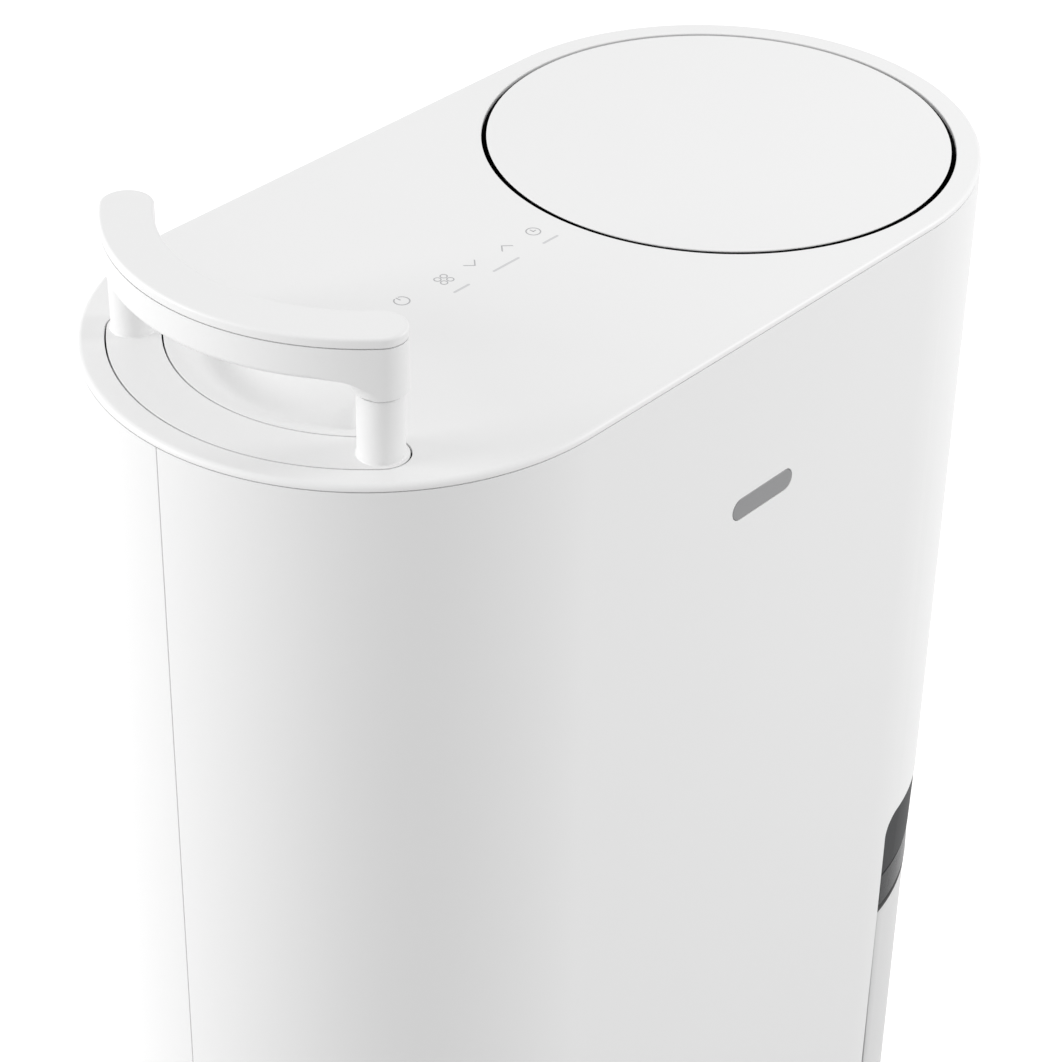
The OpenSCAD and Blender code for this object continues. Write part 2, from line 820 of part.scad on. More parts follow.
module tank_bucket() color([0.35, 0.36, 0.38]) {
  z0 = plinth_h + 2.4;
  difference() {
    union() {
      translate([0, 0, z0]) linear_extrude(tank_top - 8 - z0) tank2d(117, 38);
      end_band(body_r - 0.5, body_r - 0.7, fascia_top + 4.6, tank_top, 3.2);
      difference() {
        translate([axis_x, 0, fascia_top + 4.6]) cylinder(r = body_r - 2.5, h = 4);
        box([-far, -far, 0], [tank_x + 0.5, far, far]);
      }
    }
    translate([0, 0, z0 + 2.5]) linear_extrude(far) tank2d(114.5, 40.5);
    difference() {
      box([118, -far, fascia_top - 1], [tank_x + 0.5, far, far]);
      box([0, -117, 0], [far, 117, far]);
    }
  }
  // Ears that carry the float's pin
  difference() {
    for (y = [36, 66.5])
      box([40, y, float_z - 6], [49.5, y + 3.5, float_z + 6]);
    bar_y(1.56, float_x, float_z, 30, 80);
  }
}

module tank_fascia() color(white) {
  intersection() {
    end_band(body_r - 1, body_r - 1, plinth_h + 1, fascia_top, 2.4);
    box([tank_x + 0.5, -far, 0], [far, far, far]);
  }
  // Clips between the fascia and the bucket's wall
  for (a = [-50:25:50])
    translate([axis_x, 0, 0]) rotate(a)
      box([117.1, -4, 100], [121.8, 4, 104]);
}

module tank_gasket() color(black) {
  intersection() {
    end_band(body_r - 0.8, body_r - 0.8, fascia_top + 0.1, fascia_top + 4.5, 6.8);
    box([tank_x + 0.6, -far, 0], [far, far, far]);
  }
}

module tank_lid() color(dark) {
  z0 = tank_top - 7.8;
  difference() {
    translate([0, 0, z0]) linear_extrude(7) tank2d(117, 38);
    translate([0, 0, z0 - 1]) linear_extrude(5.5) tank2d(115, 40);
    translate([85, 60, z0 - 1]) cylinder(r = 26, h = 20);
    box([85, -62, z0 - 1], [150, -12, z0 + 20]);
  }
}

module tank_float() color([0.85, 0.85, 0.85]) {
  // Closed float on an arm, hanging from a pin at the bucket's back
  translate([float_x, 0, float_z]) rotate([0, 25, 0]) {
    box([7, 34, -26], [38, 72, -2]);
    box([-2, 46, -3], [14, 60, 3]);
  }
  bar_y(1.5, float_x, float_z, 36, 70);
}

// ---------------------------------------------------------------- rear intake

module intake_grille() color(white) {
  gap = 0.5;
  y0 = inner_r - 3;
  difference() {
    box([-intake_hw + gap, y0, intake_z0 + gap], [intake_hw - gap, body_r, intake_z1 - gap]);
    box([-intake_hw + 3, y0 - 1, intake_z0 + 3], [intake_hw - 3, body_r - 2.5, intake_z1 - 3]);
    for (i = [0:26])
      translate([0, 0, intake_z0 + 16 + i * 8.6])
        box([-intake_hw + 12, y0 - 1, 0], [intake_hw - 12, body_r + 1, 4.5]);
  }
}

module filter_frame() color(dark) {
  y0 = 110.5;
  difference() {
    box([-98, y0, 353], [98, y0 + 5, 597]);
    for (i = [0:2])
      for (j = [0:3])
        translate([-94 + i * 63.2, y0, 357 + j * 59.4]) box([0, -1, 0], [61.6, 6, 57.8]);
  }
}

module filter_mesh() color([0.45, 0.45, 0.45]) {
  for (i = [0:2])
    for (j = [0:3])
      translate([-94 + i * 63.2, 112.4, 357 + j * 59.4]) box([0.1, 0, 0.1], [61.5, 0.8, 57.7]);
}

// ---------------------------------------------------------------- casters

module at_caster(n) {
  p = caster_pos[n - 1];
  translate([p[0] * caster_x, p[1] * caster_y, 0]) children();
}

module caster_fork(n) color(dark) at_caster(n) {
  translate([0, 0, 22.8]) cylinder(r = 9, h = 2.7);
  translate([0, 0, 22.9]) cylinder(r = pin_r, h = 11.6);
  for (s = [-1, 1])
    difference() {
      along_y(s * 8.1 - 1.3, s * 8.1 + 1.3)
        polygon([[-7, 25], [7, 25], [-trail + 4, 6.5], [-trail - 4.5, 6.5], [-trail - 5, 14]]);
      bar_y(2.55, -trail, wheel_r, -20, 20);
    }
  bar_y(2.5, -trail, wheel_r, -9.6, 9.6);
}

module caster_wheel(n) color(black) at_caster(n) {
  difference() {
    bar_y(wheel_r, -trail, wheel_r, -wheel_w / 2, wheel_w / 2);
    bar_y(2.56, -trail, wheel_r, -wheel_w, wheel_w);
  }
}

module caster_fork_1() caster_fork(1);
module caster_fork_2() caster_fork(2);
module caster_fork_3() caster_fork(3);
module caster_fork_4() caster_fork(4);
module caster_wheel_1() caster_wheel(1);
module caster_wheel_2() caster_wheel(2);
module caster_wheel_3() caster_wheel(3);
module caster_wheel_4() caster_wheel(4);

front_shell();
rear_shell();
top_panel();
base_pan();
tank_bay();
recess_panel();
handle_well();
outlet_tray();
outlet_grid();
lid_hinge_bracket();
lid_motor();
scroll_front();
scroll_rear();
fan_motor();
evaporator();
condenser();
coil_pipes();
drain_pan();
drain_spigot();
compressor();
compressor_motor();
accumulator();
compressor_feet();
control_board();
touch_board();
level_switch();
power_inlet();
body_screws();
badge();
handle_grip();
handle_cap();
handle_posts();
handle_plate();
lid_top();
lid_base();
lid_pin();
lid_pinion();
fan_wheel();
fan_shaft();
tank_bucket();
tank_fascia();
tank_gasket();
tank_lid();
tank_float();
intake_grille();
filter_frame();
filter_mesh();
drain_plug();
caster_fork_1();
caster_fork_2();
caster_fork_3();
caster_fork_4();
caster_wheel_1();
caster_wheel_2();
caster_wheel_3();
caster_wheel_4();
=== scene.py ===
"""Looks of a slim upright dehumidifier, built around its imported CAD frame.

Shapes are worked out in millimetres in the row frame (+X towards the water
tank, -Y the front, +Z up, origin on the floor) and stored in metres.
"""

import json
import math

import bmesh
import bpy
import numpy as np
from mathutils import Matrix, Vector
from mathutils.geometry import delaunay_2d_cdt


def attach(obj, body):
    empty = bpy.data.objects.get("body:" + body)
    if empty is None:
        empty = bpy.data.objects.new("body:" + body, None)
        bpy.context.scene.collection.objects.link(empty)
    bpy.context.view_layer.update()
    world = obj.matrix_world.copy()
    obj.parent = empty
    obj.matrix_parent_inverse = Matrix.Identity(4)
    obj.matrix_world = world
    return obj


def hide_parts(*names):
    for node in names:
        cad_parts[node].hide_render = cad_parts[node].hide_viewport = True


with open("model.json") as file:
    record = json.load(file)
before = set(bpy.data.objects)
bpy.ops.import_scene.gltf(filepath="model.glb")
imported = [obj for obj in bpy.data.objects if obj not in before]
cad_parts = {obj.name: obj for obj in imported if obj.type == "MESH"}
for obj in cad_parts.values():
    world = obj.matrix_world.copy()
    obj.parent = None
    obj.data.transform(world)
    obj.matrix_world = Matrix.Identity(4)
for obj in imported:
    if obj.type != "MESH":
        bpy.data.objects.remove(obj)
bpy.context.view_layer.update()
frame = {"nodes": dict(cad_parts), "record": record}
nodes = frame["nodes"]
MM = 0.001  # metres in a millimetre
MERGE_M = 2e-6  # points closer than this are one point, in metres
SHARP_DEG = 38  # edges folded more than this stay crisp
MIN_GAP = 0.45  # least distance from an extra face point to an outline

# Cabinet
BODY_R = 125.0  # round ends
AXIS_X = 120.0  # their centres, left and right of the origin
TOP_Z = 690.0
WALL = 2.5
SKIN_Z = 687.5  # underside of the top panel's skin
RIM_Z = 687.1  # bottom of the top panel's rim
SHELL_Z0, SHELL_Z1 = 36.4, 686.5
QUARTER = BODY_R * math.pi / 2  # arc length of a quarter of the plan's round end
TANK_X = 135.7  # upright edge of the opening for the tank
PANEL_Z = 327.0  # top of that opening
TANK_TOP = 288.0
FASCIA_TOP = 261.0

# Openings in the rear wall
INTAKE_HW, INTAKE_Z0, INTAKE_Z1 = 105, 345, 605
INLET_X0, INLET_X1, INLET_Z0, INLET_Z1 = -160, -140, 65, 81
DRAIN_X, DRAIN_Z, DRAIN_R = 20, 318, 17

# Handle: a band about the left end's centre, half widths HW
HANDLE_R = 100.7
SLOT_HW = 12.5
PLATE_HW = 11.75
GRIP_HW = 11.6
POST_R = 10.0
POST_A = 46.5  # degrees from the X axis to a post
LEG_Z = 721.0  # joint between post and grip
GRIP_UNDER = 730.0
CAP_Z = 745.7  # joint between grip and cap
GRIP_TOP = 750.0

# Lid
LID_R = 111.2
LID_HOLE_R = 113.2

LIE_ALONG_Y = Matrix.Rotation(-math.pi / 2, 4, "X")  # turns an upright axis to point back


# ------------------------------------------------------------ outlines

def arc(cx, cy, r, a0, a1, n):
    """n + 1 points on an arc, angles in degrees."""
    a = np.radians(np.linspace(a0, a1, n + 1))
    return np.column_stack([cx + r * np.cos(a), cy + r * np.sin(a)])


def circle(cx, cy, r, n):
    return arc(cx, cy, r, 0, 360, n)[:-1]


def stadium(r, n):
    """Oblong with round ends of n steps each, counter-clockwise."""
    side = np.linspace(-AXIS_X, AXIS_X, 25)[1:-1]
    front = np.column_stack([side, np.full(23, -r)])
    back = np.column_stack([side[::-1], np.full(23, r)])
    right, left = arc(AXIS_X, 0, r, -90, 90, n), arc(-AXIS_X, 0, r, 90, 270, n)
    return np.vstack([right, back, left, front])


def crescent(hw, n=110):
    """Band about the handle end's centre with round ends, counter-clockwise."""
    ends = []
    for side in (1, -1):
        a = math.radians(180 + side * POST_A)
        x, y = -AXIS_X + HANDLE_R * math.cos(a), HANDLE_R * math.sin(a)
        first = 180 + side * POST_A
        ends.append(arc(x, y, hw, first, first + side * 180, 28)[1:-1])
    outer = arc(-AXIS_X, 0, HANDLE_R + hw, 180 - POST_A, 180 + POST_A, n)
    inner = arc(-AXIS_X, 0, HANDLE_R - hw, 180 + POST_A, 180 - POST_A, n)
    return np.vstack([outer, ends[0], inner, ends[1][::-1]])


def round_rect(x0, y0, x1, y1, r, n=8):
    """Rectangle with rounded corners, counter-clockwise."""
    return np.vstack([arc(x1 - r, y0 + r, r, -90, 0, n), arc(x1 - r, y1 - r, r, 0, 90, n),
                      arc(x0 + r, y1 - r, r, 90, 180, n), arc(x0 + r, y0 + r, r, 180, 270, n)])


def pill(cx, cy, w, h, n=14):
    """Outline with two full round ends, counter-clockwise."""
    d = (w - h) / 2
    return np.vstack([arc(cx + d, cy, h / 2, -90, 90, n), arc(cx - d, cy, h / 2, 90, 270, n)])


def inset(loop, d):
    """Moves a counter-clockwise outline inwards by d, a number or one per point."""
    before = loop - np.roll(loop, 1, 0)
    after = np.roll(loop, -1, 0) - loop
    n0 = np.column_stack([-before[:, 1], before[:, 0]]) / np.linalg.norm(before, axis=1)[:, None]
    n1 = np.column_stack([-after[:, 1], after[:, 0]]) / np.linalg.norm(after, axis=1)[:, None]
    mid = n0 + n1
    mid /= np.linalg.norm(mid, axis=1)[:, None]
    scale = 1 / np.maximum(0.5, (mid * n0).sum(1))
    return loop + mid * (scale * d)[:, None]


def inside(points, loops):
    """Even-odd test of points against closed outlines."""
    hit = np.zeros(len(points), int)
    x, y = points[:, :1], points[:, 1:]
    for p in loops:
        q = np.roll(p, -1, 0)
        spans = (p[:, 1] > y) != (q[:, 1] > y)
        rise = np.where(q[:, 1] == p[:, 1], 1e-9, q[:, 1] - p[:, 1])
        at = p[:, 0] + (y - p[:, 1]) * (q[:, 0] - p[:, 0]) / rise
        hit += (spans & (x < at)).sum(1)
    return hit % 2 == 1


def gap_to(points, loops):
    """Distance from each point to the nearest outline point."""
    every = np.vstack(loops)
    return np.sqrt(((points[:, None] - every[None]) ** 2).sum(2)).min(1)


# ------------------------------------------------------------ solids

def rounded(top, bottom, steps):
    """Edge profile from the top face to the bottom face, rounded by two radii: rows of inset,
    the face the height is counted from ("t" or "b") and the offset from it."""
    rows = []
    for k in range(steps, -1, -1):
        t = math.pi / 2 * k / steps
        rows.append((top * (1 - math.cos(t)), "t", -top * (1 - math.sin(t))))
    if np.max(bottom) <= 0:
        return rows + [(0 * top, "b", 0 * top)]
    for k in range(steps + 1):
        t = math.pi / 2 * k / steps
        rows.append((bottom * (1 - math.cos(t)), "b", bottom * (1 - math.sin(t))))
    return rows


def fill(rings, inner, columns):
    """Triangles between outlines, on their points followed by the inner points. Columns are
    X values where the triangles keep an edge from outline to outline."""
    points = np.vstack(rings + ([inner] if len(inner) else []))
    edges, start = [], 0
    for ring in rings:
        n = len(ring)
        edges += [(start + i, start + (i + 1) % n) for i in range(n)]
        start += n
    for u in columns:
        near = np.nonzero(np.abs(points[:start, 0] - u) < 0.02)[0]
        near = near[np.argsort(points[near, 1])]
        pairs = [(a, b) for a, b in zip(near[:-1], near[1:])
                 if points[b, 1] - points[a, 1] > 1]
        if pairs:
            mids = np.array([(points[a] + points[b]) / 2 for a, b in pairs])
            edges += [(int(a), int(b)) for (a, b), ok in zip(pairs, inside(mids, rings)) if ok]
    _, _, tris, origin, _, _ = delaunay_2d_cdt([Vector(p) for p in points], edges, [], 0, 1e-7)
    tris = np.array([[origin[i][0] for i in t] for t in tris])
    return tris[inside(points[tris].mean(1), rings)]


def level(z):
    """Height function of a flat face."""
    return lambda p: np.full(len(p), float(z))


def plate(outer, edge, top, bottom, holes=(), towers=(), inner=(), columns=()):
    """Closed plate between two height functions. Holes are (outline, profile), and
    towers are (outline, profile) that leave the top face and close in a cap. Inner points
    and columns shape the triangles of both faces. A profile row that counts from neither
    face ("z") holds a height."""
    loops = [(outer, edge, 1, False)] + [(h, e, -1, False) for h, e in holes]
    loops += [(t, e, 1, True) for t, e in towers]
    verts, faces, first, last = [], [], [], []
    count = 0
    for loop, profile, sign, capped in loops:
        n, rings = len(loop), []
        for d, side, dz in profile:
            d = np.broadcast_to(np.asarray(d, float), (n,))
            p = inset(loop, sign * d)
            z = (top if side == "t" else bottom)(p) if side in "tb" else np.zeros(n)
            rings.append(np.column_stack([p, z + dz]))
        start = count
        for ring in rings:
            verts.append(ring)
            count += n
        i = np.arange(n)
        j = (i + 1) % n
        for k in range(len(rings) - 1):
            a, b = start + k * n, start + (k + 1) * n
            faces += np.column_stack([a + i, b + i, b + j, a + j]).tolist()
        first.append((start, rings[0]))
        if capped:
            faces.append((start + (len(rings) - 1) * n + i).tolist())
        else:
            last.append((start + (len(rings) - 1) * n, rings[-1]))
    for group, height in ((first, top), (last, bottom)):
        rings = [r[:, :2] for _, r in group]
        index = np.concatenate([s + np.arange(len(r)) for s, r in group])
        extra = np.asarray(inner, float).reshape(-1, 2)
        if len(extra):
            extra = extra[inside(extra, rings)]
            extra = extra[gap_to(extra, rings) > MIN_GAP]
            verts.append(np.column_stack([extra, height(extra)]))
            index = np.concatenate([index, count + np.arange(len(extra))])
            count += len(extra)
        faces += index[fill(rings, extra, columns)].tolist()
    return np.vstack(verts), faces


def lathe(profile, n):
    """Closed solid of revolution about Z, in n steps, from (radius, height) points."""
    verts, faces, rows = [], [], []
    for r, z in profile:
        if r < 1e-6:
            rows.append([len(verts)] * n)
            verts.append((0, 0, z))
        else:
            rows.append(list(range(len(verts), len(verts) + n)))
            a = np.arange(n) * 2 * math.pi / n
            verts += [(r * math.cos(t), r * math.sin(t), z) for t in a]
    pairs = list(zip(rows[:-1], rows[1:]))
    if profile[0][0] > 1e-6:
        pairs.append((rows[-1], rows[0]))
    for a, b in pairs:
        for i in range(n):
            j = (i + 1) % n
            face = list(dict.fromkeys([a[i], b[i], b[j], a[j]]))
            if len(face) > 2:
                faces.append(face)
    return np.array(verts, float), faces


def fillet(points, radii, steps):
    """Rounds the inner corners of an open (radius, height) polyline, one radius for each."""
    out = [points[0]]
    for (a, b, c), r in zip(zip(points[:-2], points[1:-1], points[2:]), radii):
        a, b, c = (np.array(v, float) for v in (a, b, c))
        u, v = (a - b) / np.linalg.norm(a - b), (c - b) / np.linalg.norm(c - b)
        if r <= 0:
            out.append(tuple(b))
            continue
        half = math.acos(max(-1, min(1, float(u @ v)))) / 2
        centre = b + (u + v) / np.linalg.norm(u + v) * (r / math.sin(half))
        p0, p1 = b + u * r / math.tan(half) - centre, b + v * r / math.tan(half) - centre
        turn = math.atan2(p0[0] * p1[1] - p0[1] * p1[0], float(p0 @ p1))
        for k in range(steps + 1):
            t = turn * k / steps
            c, s = math.cos(t), math.sin(t)
            out.append(tuple(centre + np.array([c * p0[0] - s * p0[1], s * p0[0] + c * p0[1]])))
    return out + [points[-1]]


def block(lo, hi, r, steps=3):
    """Box between two corners, its edges rounded by r."""
    bm = bmesh.new()
    bmesh.ops.create_cube(bm, size=1)
    lo, hi = Vector(lo), Vector(hi)
    for v in bm.verts:
        v.co = Vector(((lo[i] + hi[i]) / 2 + v.co[i] * (hi[i] - lo[i])) for i in range(3))
    bmesh.ops.bevel(bm, geom=bm.edges[:], offset=r, segments=steps, profile=0.5, affect="EDGES")
    verts = np.array([v.co for v in bm.verts], float)
    bm.verts.index_update()
    faces = [[v.index for v in f.verts] for f in bm.faces]
    bm.free()
    return verts, faces


def turned(part, matrix):
    """A part moved by a 4x4 matrix, in millimetres."""
    m = np.array(matrix, float)
    return part[0] @ m[:3, :3].T + m[:3, 3], part[1]


def mapped(part, place):
    """A part with its points sent through a function."""
    return place(part[0]), part[1]


def merged(*parts):
    """Several parts as one."""
    verts, faces, start = [], [], 0
    for v, f in parts:
        verts.append(v)
        faces += [[i + start for i in face] for face in f]
        start += len(v)
    return np.vstack(verts), faces


def piece(name, part, finish, body, stands_for=()):
    """Makes the object, shades it with its finish, ties it to its body and hides the CAD nodes it
    stands for.
    """
    verts, faces = part
    mesh = bpy.data.meshes.new(name)
    mesh.from_pydata((verts * MM).tolist(), [], faces)
    bm = bmesh.new()
    bm.from_mesh(mesh)
    bmesh.ops.remove_doubles(bm, verts=bm.verts[:], dist=MERGE_M)
    bmesh.ops.recalc_face_normals(bm, faces=bm.faces[:])
    for f in bm.faces:
        f.smooth = True
    for e in bm.edges:
        e.smooth = len(e.link_faces) == 2 and e.calc_face_angle(0) < math.radians(SHARP_DEG)
    bm.to_mesh(mesh)
    bm.free()
    mesh.materials.append(finish)
    obj = bpy.data.objects.new(name, mesh)
    bpy.context.scene.collection.objects.link(obj)
    weighted = obj.modifiers.new("even_shading", "WEIGHTED_NORMAL")
    weighted.keep_sharp = True
    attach(obj, body)
    if stands_for:
        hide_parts(*stands_for)


# ------------------------------------------------------------ materials

COAT_ROUGHNESS = 0.12
ROUGHNESS_SPREAD = 0.05  # drift of the roughness to either side, by the fine grain
GRAIN_BUMP, WAVE_BUMP = 0.5, 0.6


def material(name, colour, roughness, metallic=0.0, spread=0.02, grain=900.0, grain_depth=0.02,
             wave=None, coat=0.0, clear=0.0, shine=0.5, stretch=(1, 1, 1), mottle=14.0):
    """Principled finish: a soft colour drift by spread at scale mottle, a fine grain in
    roughness and bump, and an optional line pattern as (scale, depth in mm, axis)."""
    mat = bpy.data.materials.new(name)
    mat.use_nodes = True
    tree = mat.node_tree
    tree.nodes.clear()
    new, link = tree.nodes.new, tree.links.new
    out = new("ShaderNodeOutputMaterial")
    bsdf = new("ShaderNodeBsdfPrincipled")
    bsdf.inputs["Metallic"].default_value = metallic
    bsdf.inputs["Specular IOR Level"].default_value = shine
    bsdf.inputs["Transmission Weight"].default_value = clear
    bsdf.inputs["Coat Weight"].default_value = coat
    bsdf.inputs["Coat Roughness"].default_value = COAT_ROUGHNESS
    link(bsdf.outputs[0], out.inputs["Surface"])
    where = new("ShaderNodeTexCoord")
    scaled = new("ShaderNodeMapping")
    scaled.inputs["Scale"].default_value = stretch
    link(where.outputs["Object"], scaled.inputs["Vector"])

    drift = new("ShaderNodeTexNoise")
    drift.inputs["Scale"].default_value = mottle
    drift.inputs["Detail"].default_value = 3
    link(scaled.outputs[0], drift.inputs["Vector"])
    tint = new("ShaderNodeMix")
    tint.data_type = "RGBA"
    tint.inputs["A"].default_value = (*[c * (1 - spread) for c in colour], 1)
    tint.inputs["B"].default_value = (*[c * (1 + spread) for c in colour], 1)
    link(drift.outputs["Fac"], tint.inputs["Factor"])
    link(tint.outputs["Result"], bsdf.inputs["Base Color"])

    fine = new("ShaderNodeTexNoise")
    fine.inputs["Scale"].default_value = grain
    fine.inputs["Detail"].default_value = 2
    link(scaled.outputs[0], fine.inputs["Vector"])
    span = new("ShaderNodeMapRange")
    span.inputs["To Min"].default_value = roughness - ROUGHNESS_SPREAD
    span.inputs["To Max"].default_value = roughness + ROUGHNESS_SPREAD
    link(fine.outputs["Fac"], span.inputs["Value"])
    link(span.outputs["Result"], bsdf.inputs["Roughness"])
    bump = new("ShaderNodeBump")
    bump.inputs["Strength"].default_value = GRAIN_BUMP
    bump.inputs["Distance"].default_value = grain_depth * MM
    link(fine.outputs["Fac"], bump.inputs["Height"])
    shade = bump
    if wave:
        scale, depth, axis = wave
        lines = new("ShaderNodeTexWave")
        lines.bands_direction = axis
        lines.inputs["Scale"].default_value = scale
        link(where.outputs["Object"], lines.inputs["Vector"])
        shade = new("ShaderNodeBump")
        shade.inputs["Strength"].default_value = WAVE_BUMP
        shade.inputs["Distance"].default_value = depth * MM
        link(lines.outputs["Fac"], shade.inputs["Height"])
        link(bump.outputs["Normal"], shade.inputs["Normal"])
    link(shade.outputs["Normal"], bsdf.inputs["Normal"])
    return mat


M = {name: material(name, colour, roughness, **more) for name, colour, roughness, more in (
    ("cabinet_white", (0.85, 0.85, 0.85), 0.42,
     dict(spread=0.006, grain=1400, grain_depth=0.006)),
    # Painted shade: fascia_white is cabinet_white darkened from 0.85 to 0.70, so the fascia comes
    # out darker than the wall
    ("fascia_white", (0.70, 0.70, 0.70), 0.45,
     dict(spread=0.006, grain=1400, grain_depth=0.006)),
    ("inner_plastic", (0.62, 0.63, 0.64), 0.5, dict(spread=0.03)),
    ("dark_plastic", (0.036, 0.037, 0.039), 0.55,
     dict(spread=0.08, shine=0.1, grain=1200, grain_depth=0.03)),
    ("smoked_plastic", (0.028, 0.029, 0.031), 0.26,
     dict(spread=0.1, grain=300, grain_depth=0.003, clear=0.03, shine=0.05)),
    ("badge_grey", (0.24, 0.24, 0.245), 0.35,
     dict(metallic=0.3, spread=0.04, grain=1600, grain_depth=0.006)),
    ("black_rubber", (0.022, 0.022, 0.022), 0.75, dict(spread=0.15, grain_depth=0.04)),
    ("caster_rubber", (0.05, 0.05, 0.055), 0.65, dict(spread=0.12, grain_depth=0.04)),
    ("filter_net", (0.16, 0.16, 0.17), 0.7, dict(spread=0.1, wave=(260, 0.3, "X"))),
    ("bright_steel", (0.60, 0.61, 0.63), 0.34,
     dict(metallic=1, spread=0.05, stretch=(1, 6, 1), grain=700)),
    ("stator_iron", (0.17, 0.17, 0.18), 0.6,
     dict(metallic=0.6, spread=0.15, wave=(160, 0.25, "Z"))),
    ("fin_aluminium", (0.72, 0.74, 0.76), 0.4,
     dict(metallic=1, spread=0.05, wave=(90, 0.2, "Z"))),
    ("copper_pipe", (0.72, 0.36, 0.20), 0.32, dict(metallic=1, spread=0.14, mottle=30)),
    ("black_enamel", (0.018, 0.018, 0.02), 0.28, dict(spread=0.1, coat=0.5)),
    ("circuit_board", (0.03, 0.14, 0.07), 0.45,
     dict(spread=0.2, wave=(120, 0.12, "Z"), mottle=60)),
    ("icon_grey", (0.46, 0.46, 0.47), 0.5, dict(spread=0.04)),
    ("label_grey", (0.64, 0.64, 0.65), 0.5, dict(spread=0.04)),
)}
WHITE, DARK = M["cabinet_white"], M["dark_plastic"]

# Every CAD node takes its slot's finish. Those that no piece replaces stay visible
for row in frame["record"]["subparts"]:
    obj = nodes[row["node"]]
    if not obj.material_slots:
        obj.data.materials.append(M[row["material_slot"]])
    for s in obj.material_slots:
        s.material = M[row["material_slot"]]


# ------------------------------------------------------------ cabinet shells

def on_wall(sign):
    """Wraps (arc length, height, -depth) round the front (-1) or rear (1) half of the wall."""
    def place(v):
        u, z, r = v[:, 0], v[:, 1], BODY_R + v[:, 2]
        a = np.clip(u / BODY_R, 0, math.pi / 2)
        b = np.clip((u - QUARTER - 2 * AXIS_X) / BODY_R, 0, math.pi / 2)
        x = -AXIS_X - r * np.cos(a) + np.clip(u - QUARTER, 0, 2 * AXIS_X) + r * np.sin(b)
        y = r * np.sin(a) * np.cos(b)
        return np.column_stack([x, sign * y, z])
    return place


def u_of(x):
    """Arc length along the wall at a given X."""
    if x < -AXIS_X:
        return BODY_R * math.acos(min(1, (-AXIS_X - x) / BODY_R))
    if x <= AXIS_X:
        return QUARTER + x + AXIS_X
    return QUARTER + 2 * AXIS_X + BODY_R * math.asin(min(1, (x - AXIS_X) / BODY_R))


SEAM_U = 0.2  # half the gap between the front and rear shells
U_END = 2 * QUARTER + 2 * AXIS_X - SEAM_U
CORNER = 12.0  # corner radius of the opening for the tank
COLUMNS = 80  # upright strips in a quarter of the plan's round end
arc_x = [TANK_X + CORNER * (1 - math.cos(math.radians(a))) for a in range(0, 91, 6)]
arc_z = [PANEL_Z - CORNER + CORNER * math.sin(math.radians(a)) for a in range(0, 91, 6)]
u_arc = [u_of(x) for x in arc_x]
far_end = [QUARTER + 2 * AXIS_X + (U_END - QUARTER - 2 * AXIS_X) * i / COLUMNS
           for i in range(COLUMNS)]
columns = sorted([SEAM_U + (QUARTER - SEAM_U) * i / COLUMNS for i in range(1, COLUMNS + 1)]
                 + u_arc + [u for u in far_end if min(abs(u - v) for v in u_arc) > 0.5])


def wall_outline():
    """Outline of one half of the cabinet wall in arc length and height."""
    bottom = [(SEAM_U, SHELL_Z0)] + [(u, SHELL_Z0) for u in columns if u < u_arc[0] - 0.1]
    side = [(u_arc[0], z) for z in np.linspace(SHELL_Z0, arc_z[0], 12)[:-1]]
    corner = list(zip(u_arc, arc_z))
    over = [(u, PANEL_Z) for u in columns if u > u_arc[-1] + 0.1] + [(U_END, PANEL_Z)]
    top = [(U_END, SHELL_Z1)] + [(u, SHELL_Z1) for u in columns[::-1]] + [(SEAM_U, SHELL_Z1)]
    return np.array(bottom + side + corner + over + top)


def u_hole(x0, x1, z0, z1, r, n=8):
    """Rounded rectangular hole given in X and height."""
    return round_rect(u_of(x0), z0, u_of(x1), z1, r, n)


# Front shell, with stiffening ribs inside
edge_soft = rounded(0.25, 0.0, 3)
BADGE_X, BADGE_Z, BADGE_W, BADGE_H, BADGE_GAP = 2.5, 599.0, 43.0, 11.0, 0.3
badge_hole = pill(u_of(BADGE_X), BADGE_Z, BADGE_W + BADGE_GAP, BADGE_H + BADGE_GAP)
front = plate(wall_outline(), edge_soft, level(0), level(-WALL),
              holes=[(badge_hole, rounded(0.3, 0.0, 2))], columns=columns)
ribs = [block((x - 1, -122.7, 60), (x + 1, -117, 640), 0.3) for x in (-100, -40, 20)]
piece("front_shell_moulded", merged(mapped(front, on_wall(-1)), *ribs), WHITE,
      "cabinet", ["front_shell"])

# Rear shell, with the grille's opening, the drain's recess, screw wells and the power inlet
SCREWS, SCREW_WELL_R = [(-112, 44), (16, 44), (-112, 640), (-20, 640)], 4.0
rear_holes = [(u_hole(-INTAKE_HW, INTAKE_HW, INTAKE_Z0, INTAKE_Z1, 2.5), rounded(0.8, 0.0, 3)),
              (circle(u_of(DRAIN_X), DRAIN_Z, DRAIN_R, 64), rounded(1.0, 0.0, 3))]
rear_holes += [(circle(u_of(x), z, SCREW_WELL_R, 32), rounded(0.4, 0.0, 2)) for x, z in SCREWS]
inlet = u_hole(INLET_X0, INLET_X1, INLET_Z0, INLET_Z1, 1.5, 4)
rear_holes.append((inlet, rounded(0.6, 0.0, 2)))
rear = plate(wall_outline(), edge_soft, level(0), level(-WALL), holes=rear_holes,
             columns=[u for u in columns if not u_of(INLET_X0 - 1) < u < u_of(INLET_X1 + 1)])
CUP_R, CUP_TOP = DRAIN_R + 0.15, -1.2  # starts inside the wall, clear of the hole's edge
cup = [(CUP_R, CUP_TOP), (CUP_R, -15), (11.3, -15), (11.3, -17), (19, -17), (19, CUP_TOP),
       (CUP_R, CUP_TOP)]
cup = lathe(fillet(cup, [1.5, 0.3, 0, 0.5, 0], 4)[:-1], 64)
cup = turned(cup, Matrix.Translation((DRAIN_X, BODY_R - 1, DRAIN_Z)) @ LIE_ALONG_Y)
